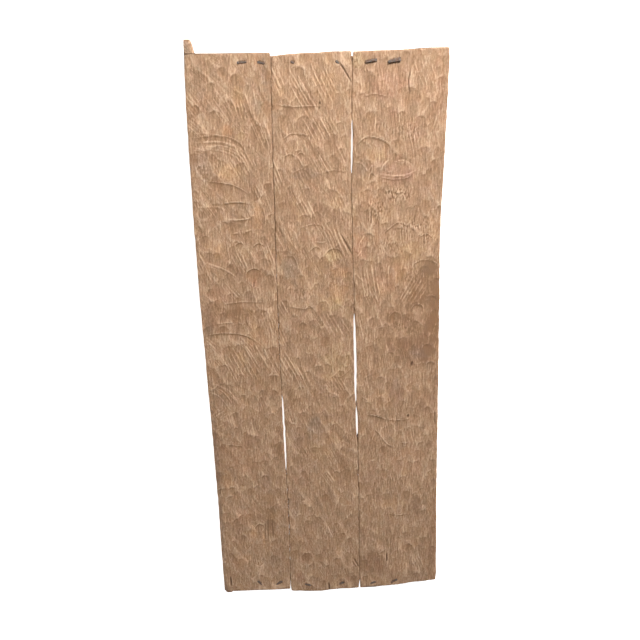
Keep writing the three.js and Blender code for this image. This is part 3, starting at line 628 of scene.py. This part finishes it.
def plank_grid(name, face, lines):
    """Points of the plank's face, in rows from its bottom end to its top end."""
    left, right, bottom, top = lines
    columns = int((right(0.0) - left(0.0)) / FACE_COLUMN)
    count = columns + 2 * (len(WALL_STEPS) - 1) + BACK_COLUMNS
    rows = int(PLANK_TRIANGLES / 2 / count)
    s = np.linspace(0, 1, columns)[None, :]
    t = np.linspace(0, 1, rows)[:, None]
    y = -640 + 1280 * t + 0 * s
    for _ in range(3):
        x = left(y) + s * (right(y) - left(y))
        y = bottom(x) + t * (top(x) - bottom(x))
    to_end = np.minimum(y - bottom(x), top(x) - y)
    lack = CORNER_ROUND - np.sqrt(np.clip(CORNER_ROUND ** 2 - np.maximum(CORNER_ROUND - to_end, 0) ** 2, 0, None))
    middle = (left(y) + right(y)) / 2
    half = (right(y) - left(y)) / 2
    outer = (s < 0.5) if name == PLANKS[0] else (s > 0.5) if name == PLANKS[-1] else s < 0
    wobble = np.where(outer, 0.25 * (1 + wander(y, s, 18, 5 + len(name))), 0)
    if name == PEGGED:
        lack = np.where(outer, 0, lack)
        wobble = wobble * np.clip(to_end / 30, 0, 1)
    x = middle + (x - middle) * (1 - (lack + wobble) / half)
    edge_left = x - x[:, :1]
    edge_right = x[:, -1:] - x
    outer_left = OUTER_ARRIS if name == PLANKS[0] else JOINT_ARRIS
    outer_right = OUTER_ARRIS if name == PLANKS[-1] else JOINT_ARRIS
    wear = 1 + 0.35 * wander(y, s * 0, 35, 11 + len(name)) + 0.25 * wander(y, s * 0, 9, 14 + len(name))
    wear = np.maximum(wear, 0.3)
    drop = arris(edge_left / wear, *outer_left) * wear
    drop = np.maximum(drop, arris(edge_right / wear, *outer_right) * wear)
    end_wear = 1 + 0.35 * wander(x, y * 0, 22, 17)
    end_drop = arris(to_end / end_wear, *END_ARRIS) * end_wear
    if name == PEGGED:
        end_drop = end_drop * np.clip((edge_left - PEG_WIDTH) / 4, 0, 1)
    z = FACE - face.sample(face.depth, x, y) - np.maximum(drop, end_drop)
    return x, y, z


def plank_loops(name, face, lines, opened):
    """Each row of the face, carried on down both walls and across the back."""
    x, y, z = plank_grid(name, face, lines)
    rows = x.shape[0]
    floor = BACK + 0.2
    right_wall, left_wall = [], []
    leans = [WALL_LEAN * (1 if side is None else np.clip(side(y[:, 0]), 0.1, 1)) for side in opened]
    for step in WALL_STEPS[1:]:
        for wall, column, sign, side_lean in ((right_wall, -1, -1, leans[1]), (left_wall, 0, 1, leans[0])):
            lean = side_lean * step ** 2
            rough = 0.25 * (1 + wander(y[:, column], np.full(rows, step * 40), 26, 31 + column)) * step
            height = z[:, column] + (floor + 0.6 - z[:, column]) * step
            wall.append(np.stack((x[:, column] + sign * (lean + rough), y[:, column], height), -1))
    share = np.linspace(0, 1, BACK_COLUMNS)
    inner_right = x[:, -1] - leans[1] - 1.6
    inner_left = x[:, 0] + leans[0] + 1.6
    back_x = inner_right[:, None] + share * (inner_left - inner_right)[:, None]
    pick = ((1 - share) * (x.shape[1] - 1)).astype(int)
    back_y = y[:, pick]
    back_z = floor + 0.5 * (1 + wander(back_x, back_y, 30, 41))
    face_loop = np.stack((x, y, z), -1)
    back_loop = np.stack((back_x, back_y, back_z), -1)
    return np.concatenate((face_loop, np.stack(right_wall, 1), back_loop, np.stack(left_wall[::-1], 1)), 1)


def closed_mesh(name, loops):
    """A mesh of quads between loops of points, with a fan of rings over both ends."""
    rows, count = loops.shape[:2]
    points = [loops.reshape(-1, 3)]
    faces = []
    i, j = np.meshgrid(np.arange(count), np.arange(rows - 1))
    nxt = (i + 1) % count
    quads = np.stack((j * count + i, j * count + nxt, (j + 1) * count + nxt, (j + 1) * count + i), -1)
    faces.append(quads.reshape(-1, 4))
    total = rows * count
    triangles = []
    for end, flip in ((0, True), (rows - 1, False)):
        ring = np.arange(count) + end * count
        loop = loops[end]
        middle = loop.mean(0)
        for share in (0.93, 0.6):
            inner = middle + (loop - middle) * np.array((share, 1, share))
            new = np.arange(count) + total
            points.append(inner)
            total += count
            pair = np.stack((ring, np.roll(ring, -1), np.roll(new, -1), new), -1)
            faces.append(pair[:, ::-1] if flip else pair)
            ring = new
        points.append(middle[None])
        fan = np.stack((ring, np.roll(ring, -1), np.full(count, total)), -1)
        triangles.append(fan[:, ::-1] if flip else fan)
        total += 1
    return make_mesh(name, np.concatenate(points), np.concatenate(faces), np.concatenate(triangles))


def make_mesh(name, points, quads, triangles):
    """A Blender object from points in millimetres."""
    mesh = bpy.data.meshes.new(name)
    mesh.vertices.add(len(points))
    mesh.vertices.foreach_set("co", (points * MM).astype(np.float32).ravel())
    sizes = np.concatenate((np.full(len(quads), 4), np.full(len(triangles), 3)))
    corners = np.concatenate((quads.ravel(), triangles.ravel()))
    mesh.loops.add(len(corners))
    mesh.loops.foreach_set("vertex_index", corners.astype(np.int32))
    mesh.polygons.add(len(sizes))
    starts = np.concatenate(([0], np.cumsum(sizes)[:-1]))
    mesh.polygons.foreach_set("loop_start", starts.astype(np.int32))
    mesh.update(calc_edges=True)
    mesh.validate()
    mesh.polygons.foreach_set("use_smooth", np.ones(len(sizes), bool))
    thing = bpy.data.objects.new(name, mesh)
    bpy.context.scene.collection.objects.link(thing)
    return thing


def set_attribute(thing, name, values):
    layer = thing.data.attributes.new(name, "FLOAT", "POINT")
    layer.data.foreach_set("value", np.asarray(values, np.float32))


def vertices(thing):
    points = np.empty(len(thing.data.vertices) * 3)
    thing.data.vertices.foreach_get("co", points)
    return points.reshape(-1, 3) / MM


class Nodes:
    """Short calls for building one material's nodes."""

    def __init__(self, name):
        self.material = bpy.data.materials.new(name)
        self.material.use_nodes = True
        self.tree = self.material.node_tree
        self.tree.nodes.clear()
        self.output = self.tree.nodes.new("ShaderNodeOutputMaterial")
        self.shader = self.tree.nodes.new("ShaderNodeBsdfPrincipled")
        self.tree.links.new(self.shader.outputs[0], self.output.inputs[0])

    def link(self, source, target):
        if isinstance(source, (int, float, tuple)):
            target.default_value = source
        else:
            self.tree.links.new(source, target)

    def attribute(self, name):
        node = self.tree.nodes.new("ShaderNodeAttribute")
        node.attribute_name = name
        return node.outputs["Fac"]

    def place(self, scale):
        coordinates = self.tree.nodes.new("ShaderNodeTexCoord")
        mapping = self.tree.nodes.new("ShaderNodeMapping")
        mapping.inputs["Scale"].default_value = scale
        self.link(coordinates.outputs["Object"], mapping.inputs["Vector"])
        return mapping.outputs[0]

    def noise(self, scale, detail=3.0, roughness=0.6, distortion=0.0):
        node = self.tree.nodes.new("ShaderNodeTexNoise")
        node.inputs["Scale"].default_value = 1.0
        node.inputs["Detail"].default_value = detail
        node.inputs["Roughness"].default_value = roughness
        node.inputs["Distortion"].default_value = distortion
        self.link(self.place(scale), node.inputs["Vector"])
        return node.outputs["Fac"]

    def math(self, operation, a, b=0.0, c=0.0, clamp=False):
        node = self.tree.nodes.new("ShaderNodeMath")
        node.operation = operation
        node.use_clamp = clamp
        self.link(a, node.inputs[0])
        self.link(b, node.inputs[1])
        self.link(c, node.inputs[2])
        return node.outputs[0]

    def ramp(self, value, low, high, to_low=0.0, to_high=1.0):
        node = self.tree.nodes.new("ShaderNodeMapRange")
        self.link(value, node.inputs["Value"])
        node.inputs["From Min"].default_value = low
        node.inputs["From Max"].default_value = high
        node.inputs["To Min"].default_value = to_low
        node.inputs["To Max"].default_value = to_high
        return node.outputs["Result"]

    def mix(self, share, a, b, kind="MIX"):
        node = self.tree.nodes.new("ShaderNodeMix")
        node.data_type = "RGBA"
        node.blend_type = kind
        self.link(share, node.inputs["Factor"])
        self.link(a, node.inputs[6])
        self.link(b, node.inputs[7])
        return node.outputs[2]

    def stroke_noise(self, across, along):
        """Streaks along the strokes: noise read at the place inside each stroke, per millimetre."""
        place = self.tree.nodes.new("ShaderNodeCombineXYZ")
        self.link(self.math("MULTIPLY", self.attribute("across"), across), place.inputs["X"])
        self.link(self.math("MULTIPLY", self.attribute("along"), along), place.inputs["Y"])
        node = self.tree.nodes.new("ShaderNodeTexNoise")
        node.inputs["Scale"].default_value = 1.0
        node.inputs["Detail"].default_value = 2.5
        node.inputs["Roughness"].default_value = 0.65
        self.link(place.outputs[0], node.inputs["Vector"])
        return node.outputs["Fac"]

    def tint(self, colour, amount, shift):
        """A colour times one plus an amount of a shift in red, green and blue."""
        scaled = self.tree.nodes.new("ShaderNodeVectorMath")
        scaled.operation = "SCALE"
        scaled.inputs[0].default_value = shift
        self.link(amount, scaled.inputs["Scale"])
        node = self.tree.nodes.new("ShaderNodeVectorMath")
        node.operation = "MULTIPLY_ADD"
        self.link(colour, node.inputs[0])
        self.link(scaled.outputs[0], node.inputs[1])
        self.link(colour, node.inputs[2])
        return node.outputs[0]

    def bump(self, height, distance, strength=1.0, normal=None):
        node = self.tree.nodes.new("ShaderNodeBump")
        node.inputs["Strength"].default_value = strength
        node.inputs["Distance"].default_value = distance
        self.link(height, node.inputs["Height"])
        if normal is not None:
            self.link(normal, node.inputs["Normal"])
        return node.outputs[0]


# Hollow and crest colours: partly patina and wear, partly painted shade in the hollows and painted highlight on the
# crests.
HOLLOW_PATINA_AND_SHADE = (0.205, 0.117, 0.0645, 1)
WOOD = (0.325, 0.199, 0.119, 1)
CREST_WEAR_AND_HIGHLIGHT = (0.517, 0.345, 0.228, 1)
# Near-black painted shade for cracks, holes and slots, with rust stain round the nails.
CRACK_SHADE_AND_STAIN = (0.06, 0.032, 0.019, 1)
WARM = (0.045, 0.0, -0.085)
RED = (0.045, -0.03, -0.008)
BATTEN_DARK = (0.14, 0.08, 0.045, 1)
BATTEN_LIGHT = (0.30, 0.185, 0.11, 1)
IRON = (0.13, 0.11, 0.095, 1)
RUST = (0.115, 0.055, 0.03, 1)


def wood_material(name):
    """Weathered hardwood: tan crests partly worn and partly painted highlight, brown hollows partly patina and partly
    painted shade, fibres along the plank and along each stroke.
    """
    n = Nodes(name)
    fibre = n.noise((420, 46, 420), 4.0, 0.7)
    speck = n.noise((430, 380, 430), 4.0, 0.75)
    hue = n.noise((60, 40, 60), 4.0, 0.65)
    blush = n.noise((75, 52, 75), 4.0, 0.65)
    broad = n.noise((22, 14, 22), 3.0, 0.55)
    streak = n.stroke_noise(0.42, 0.028)
    combed = n.math("MULTIPLY", n.math("SUBTRACT", streak, 0.5), n.math("MULTIPLY_ADD", n.attribute("comb"), 0.9, 0.25))
    level = n.math("ADD", n.attribute("level"), 0.42)
    level = n.math("MULTIPLY_ADD", combed, 0.9, level)
    level = n.math("MULTIPLY_ADD", n.math("SUBTRACT", fibre, 0.5), 0.6, level)
    level = n.math("MULTIPLY_ADD", n.math("SUBTRACT", speck, 0.5), 0.8, level)
    level = n.math("MULTIPLY_ADD", n.math("SUBTRACT", broad, 0.5), 0.5, level, clamp=True)
    # The ramp from hollow to crest colour carries painted shade and painted highlight along with wear, stains and
    # random tone.
    colour = n.mix(n.ramp(level, 0.0, 0.5), HOLLOW_PATINA_AND_SHADE, WOOD)
    colour = n.mix(n.ramp(level, 0.5, 1.0), colour, CREST_WEAR_AND_HIGHLIGHT)
    warm = n.math("MULTIPLY_ADD", n.math("SUBTRACT", hue, 0.5), 2.6, n.attribute("warm"))
    red = n.math("MULTIPLY_ADD", n.math("SUBTRACT", blush, 0.5), 2.6, n.attribute("red"))
    colour = n.tint(n.tint(colour, warm, WARM), red, RED)
    # Cracks, holes and nail beds darkened: painted shade, with rust stain at the nails.
    colour = n.mix(n.math("MULTIPLY", n.attribute("dark"), 0.9, clamp=True), colour, CRACK_SHADE_AND_STAIN)
    n.link(colour, n.shader.inputs["Base Color"])
    n.link(n.ramp(level, 0.0, 1.0, 0.86, 0.66), n.shader.inputs["Roughness"])
    n.shader.inputs["Specular IOR Level"].default_value = 0.25
    rough = n.math("MULTIPLY_ADD", speck, 0.5, fibre)
    rough = n.math("MULTIPLY_ADD", combed, 1.6, rough)
    n.link(n.bump(rough, 0.0008, 0.6), n.shader.inputs["Normal"])
    return n.material


def batten_material():
    """Plainer, darker wood with its fibres along the bar."""
    n = Nodes("batten_wood")
    fibre = n.noise((40, 500, 500), 4.0, 0.65)
    broad = n.noise((30, 60, 60), 3.0, 0.55)
    level = n.math("MULTIPLY_ADD", broad, 0.6, n.math("MULTIPLY", fibre, 0.6), clamp=True)
    n.link(n.mix(n.ramp(level, 0.35, 0.85), BATTEN_DARK, BATTEN_LIGHT), n.shader.inputs["Base Color"])
    n.link(n.ramp(fibre, 0.3, 0.7, 0.85, 0.7), n.shader.inputs["Roughness"])
    n.link(n.bump(fibre, 0.001, 0.6), n.shader.inputs["Normal"])
    return n.material


def iron_material():
    """Forged iron, dark grey with brown rust."""
    n = Nodes("forged_iron")
    blotch = n.noise((260, 260, 260), 4.0, 0.65)
    pits = n.noise((900, 900, 900), 3.0, 0.7)
    rust = n.ramp(blotch, 0.42, 0.6)
    n.link(n.mix(rust, IRON, RUST), n.shader.inputs["Base Color"])
    n.link(n.ramp(rust, 0, 1, 0.55, 0.0), n.shader.inputs["Metallic"])
    n.link(n.ramp(pits, 0.3, 0.7, 0.5, 0.8), n.shader.inputs["Roughness"])
    n.link(n.bump(pits, 0.0004, 0.7), n.shader.inputs["Normal"])
    return n.material


def section_loop(low, high, corner):
    """Evenly spaced points round a rectangle with rounded corners, in a plane."""
    turn = np.linspace(0, 2 * math.pi, 721)
    middle, half = (low + high) / 2, (high - low) / 2
    round_off = np.stack((np.cos(turn), np.sin(turn)), -1)
    fine = middle + half * np.sign(round_off) * abs(round_off) ** (2 / corner)
    passed = np.concatenate(([0], np.cumsum(np.hypot(*np.diff(fine, axis=0).T))))
    wanted = np.linspace(0, passed[-1], BAR_POINTS, endpoint=False)
    return np.stack([np.interp(wanted, passed, fine[:, axis]) for axis in (0, 1)], -1)


def bar_loops(node, axis, places, at_places, inset, corner):
    """Loops of points along a bar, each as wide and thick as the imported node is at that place."""
    others = [a for a in (0, 1, 2) if a != axis]
    loops = []
    for place, at in zip(places, at_places):
        cut = slice_node(node, axis, at).reshape(-1, 3)[:, others]
        low, high = cut.min(0) + inset, cut.max(0) - inset
        flat = section_loop(low, high, corner)
        middle = flat.mean(0)
        turn = np.arctan2(*(flat - middle).T)
        wear = 0.4 * (1 + wander(place + 0 * turn, 9 * turn, 13, 3 + len(node)))
        pull = 1 - wear / np.hypot(*(flat - middle).T)
        loops.append(np.insert(middle + (flat - middle) * pull[:, None], axis, place, axis=1))
    return np.array(loops)


def round_ends(loops, axis, ends, radius):
    """Draws the last loops of a bar in towards its middle, at the given ends."""
    for end in ends:
        tip = loops[0 if end < 0 else -1, 0, axis]
        away = abs(loops[:, 0, axis] - tip)
        shrink = radius * (1 - np.sqrt(1 - np.clip(1 - away / radius, 0, 1) ** 2))
        middle = loops.mean(1, keepdims=True)
        arm = loops - middle
        arm[:, :, axis] = 0
        length = np.maximum(np.linalg.norm(arm, axis=2, keepdims=True), 1e-6)
        loops = loops - arm / length * shrink[:, None, None]
    return loops


def evaluated(thing, name):
    """A piece with its modifiers made real, in place of the first one."""
    graph = bpy.context.evaluated_depsgraph_get()
    mesh = bpy.data.meshes.new_from_object(thing.evaluated_get(graph))
    made = bpy.data.objects.new(name, mesh)
    bpy.context.scene.collection.objects.link(made)
    bpy.data.objects.remove(thing)
    return made


def unite(thing, other, name):
    cut = thing.modifiers.new("union", "BOOLEAN")
    cut.operation = "UNION"
    cut.solver = "MANIFOLD"
    cut.object = other
    made = evaluated(thing, name)
    bpy.data.objects.remove(other)
    return made


def peg_mesh(face, end, end_line):
    """One pivot peg, from inside the plank to its tip; end is 1 at the top and -1 at the bottom."""
    low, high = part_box(PEGGED)
    tip = (high.y if end > 0 else low.y) / MM - end * 0.12
    shoulder = end * (628 if end > 0 else 634)
    start = shoulder - end * PEG_ROOT
    places = np.append(np.arange(start, tip - end * 1.6, end * 1.3), (tip - end * 1.2, tip - end * 0.4, tip))
    at_places = np.clip(places, *sorted((shoulder, tip - end * 0.3)))
    loops = bar_loops(PEGGED, 1, places, at_places, 0.0, 6.0)
    if end < 0:
        loops = loops[::-1]
    loops = round_ends(loops, 1, (end,), 2.2)
    x, y, z = loops[:, :, 0], loops[:, :, 1], loops[:, :, 2]
    inside = np.clip(end * (end_line - y) / PEG_ROOT, 0, 1)
    skin = FACE - face.sample(face.depth, x, y) + 0.04 - 1.2 * inside
    loops[:, :, 2] = np.minimum(z, skin)
    return closed_mesh("peg", loops)


def nail_bed(face, nail):
    """Sinks the wood round the end of a nail that is bent over on the face, and darkens it with painted shade and rust
    stain.
    """
    points = vertices(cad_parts[nail])
    leg = points[points[:, 2] > FACE - 5][:, :2]
    middle = leg.mean(0)
    spread = np.linalg.svd(leg - middle, full_matrices=False)[2][0]
    reach = (leg - middle) @ spread
    ends = middle + np.outer((reach.min() + 1, reach.max() - 1), spread)
    face.crease(ends, NAIL_BED, -2.0, 0.55)


def add_plank(name, lines, opened, material):
    """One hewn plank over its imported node, with its pegs where it has them."""
    left, right, bottom, top = lines
    heights = np.linspace(-640, 640, 30)
    low = (left(heights).min() - 4, -680)
    high = (right(heights).max() + 4, 690)
    face = hew(name, low, high)
    for nail in NAILS:
        nail_bed(face, nail)
    face.finish()
    thing = closed_mesh(name + "_hewn", plank_loops(name, face, lines, opened))
    if name == PEGGED:
        for end, line in ((1, top), (-1, bottom)):
            thing = unite(thing, peg_mesh(face, end, float(line(left(0.0) + 14))), name + "_hewn")
    points = vertices(thing)
    on_face = np.clip((points[:, 2] - (FACE - 11)) / 3, 0, 1)
    # level holds painted highlight and painted shade on the face's relief, with stains and random tone.
    for label in ("level", "warm", "red", "dark", "comb"):
        values = face.sample(getattr(face, label), points[:, 0], points[:, 1])
        set_attribute(thing, label, values * on_face - (0.1 * (1 - on_face) if label == "level" else 0))
    set_attribute(thing, "across", face.sample(face.across, points[:, 0], points[:, 1]) + 2 * points[:, 2] * (1 - on_face))
    set_attribute(thing, "along", face.sample(face.along, points[:, 0], points[:, 1]))
    dress(thing, name, material)


def dress(thing, node, material):
    """Gives a piece its smooth shading, sharp edges and material, puts it under the root body and hides its imported
    node.
    """
    thing.data.materials.clear()
    thing.data.materials.append(material)
    thing.data.polygons.foreach_set("use_smooth", np.ones(len(thing.data.polygons), bool))
    thing.data.set_sharp_from_angle(angle=math.radians(SHARP_ANGLE))
    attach(thing, "root")
    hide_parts(node)


def add_batten(node, material):
    """A hewn bar across the hidden side."""
    low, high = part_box(node)
    start, stop = low.x / MM + 0.15, high.x / MM - 0.15
    places = np.concatenate(([start, start + 0.5, start + 1.3], np.arange(start + 2.4, stop - 2, 2.6),
                             [stop - 1.3, stop - 0.5, stop]))
    loops = bar_loops(node, 0, places, np.clip(places, start + 1.2, stop - 1.2), 0.35, 9.0)
    loops = round_ends(loops, 0, (1, -1), 2.5)
    thing = closed_mesh(node + "_hewn", loops)
    dress(thing, node, material)


def add_nail(node, material):
    """A hand-forged nail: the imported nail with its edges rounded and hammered."""
    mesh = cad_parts[node].data.copy()
    thing = bpy.data.objects.new(node + "_blank", mesh)
    bpy.context.scene.collection.objects.link(thing)
    remesh = thing.modifiers.new("skin", "REMESH")
    remesh.mode = "VOXEL"
    remesh.voxel_size = NAIL_VOXEL * MM
    thing = evaluated(thing, node + "_forged")
    points = vertices(thing)
    normals = np.empty(len(points) * 3)
    thing.data.vertices.foreach_get("normal", normals)
    dent = 0.18 * (1.5 + wander(points[:, 0] + points[:, 2], points[:, 1] - points[:, 2], 3.2, len(points)))
    points = points - normals.reshape(-1, 3) * dent[:, None]
    low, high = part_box(node)
    points = np.clip(points, np.array(low) / MM + 0.05, np.array(high) / MM - 0.05)
    thing.data.vertices.foreach_set("co", (points * MM).astype(np.float32).ravel())
    thing.data.update()
    dress(thing, node, material)


def add_camera():
    data = bpy.data.cameras.new("camera")
    data.sensor_width = 36
    data.lens = 33.75
    camera = bpy.data.objects.new("camera", data)
    camera.location = (-0.034144, 0.3711, 1.38583)
    camera.rotation_euler = Euler([math.radians(a) for a in (-13.202, -1.5154, -1.3733)], "XYZ")
    bpy.context.scene.collection.objects.link(camera)
    bpy.context.scene.camera = camera


def add_floor():
    """A pale floor that turns up into a backdrop all round, far from the door."""
    turn = np.linspace(0, 2 * math.pi, FLOOR_SIDES, endpoint=False)
    bend = np.linspace(0, math.pi / 2, 9)
    flat = [(0.5, 0), (2.5, 0)]
    curve = [(FLOOR_RADIUS + BACKDROP_BEND * math.sin(a), BACKDROP_BEND * (1 - math.cos(a))) for a in bend]
    profile = np.array(flat + curve + [(FLOOR_RADIUS + BACKDROP_BEND, BACKDROP_HEIGHT)])
    around = np.stack((np.cos(turn), np.sin(turn)), -1)
    rings = [np.concatenate((radius * around, np.full((FLOOR_SIDES, 1), height)), 1) for radius, height in profile]
    points = np.concatenate([np.zeros((1, 3))] + rings) / MM
    index = np.arange(FLOOR_SIDES)
    after = (index + 1) % FLOOR_SIDES
    fan = np.stack((np.zeros(FLOOR_SIDES, int), index + 1, after + 1), -1)
    quads = []
    for ring in range(len(rings) - 1):
        inner, outer = 1 + ring * FLOOR_SIDES, 1 + (ring + 1) * FLOOR_SIDES
        quads.append(np.stack((inner + index, outer + index, outer + after, inner + after), -1))
    floor = make_mesh("floor", points, np.concatenate(quads), fan)
    n = Nodes("pale_floor")
    n.link(n.mix(n.noise((3, 3, 3)), (0.9, 0.9, 0.9, 1), (0.93, 0.93, 0.93, 1)), n.shader.inputs["Base Color"])
    n.shader.inputs["Roughness"].default_value = 0.9
    n.shader.inputs["Emission Color"].default_value = (1, 1, 1, 1)
    place = n.tree.nodes.new("ShaderNodeSeparateXYZ")
    n.link(n.place((1, 1, 1)), place.inputs[0])
    n.link(n.ramp(place.outputs["Z"], 1.0, 2.6, 0.9, 0.28), n.shader.inputs["Emission Strength"])
    floor.data.materials.append(n.material)


def add_light():
    data = bpy.data.lights.new("key", "AREA")
    data.shape = "DISK"
    data.size = 0.9
    data.energy = 97
    data.color = (1.0, 0.985, 0.96)
    key = bpy.data.objects.new("key", data)
    key.location = (0.7, 1.95, 1.5)
    key.rotation_euler = (Vector((0, 0, 0)) - key.location).to_track_quat("-Z", "Y").to_euler()
    bpy.context.scene.collection.objects.link(key)
    world = bpy.data.worlds.new("world")
    bpy.context.scene.world = world
    world.use_nodes = True
    world.node_tree.nodes["Background"].inputs[0].default_value = (1, 1, 1, 1)
    world.node_tree.nodes["Background"].inputs[1].default_value = 0.04
    bpy.context.scene.view_settings.view_transform = "Standard"


add_camera()
add_floor()
add_light()
wood = wood_material("hewn_wood")
outlines = {name: read_outline(name) for name in PLANKS}
openings = tighten(outlines)
for plank in PLANKS:
    add_plank(plank, outlines[plank], openings[plank], wood)
for batten in ("top_batten", "bottom_batten"):
    add_batten(batten, batten_material())
iron = iron_material()
for nail in NAILS:
    add_nail(nail, iron)
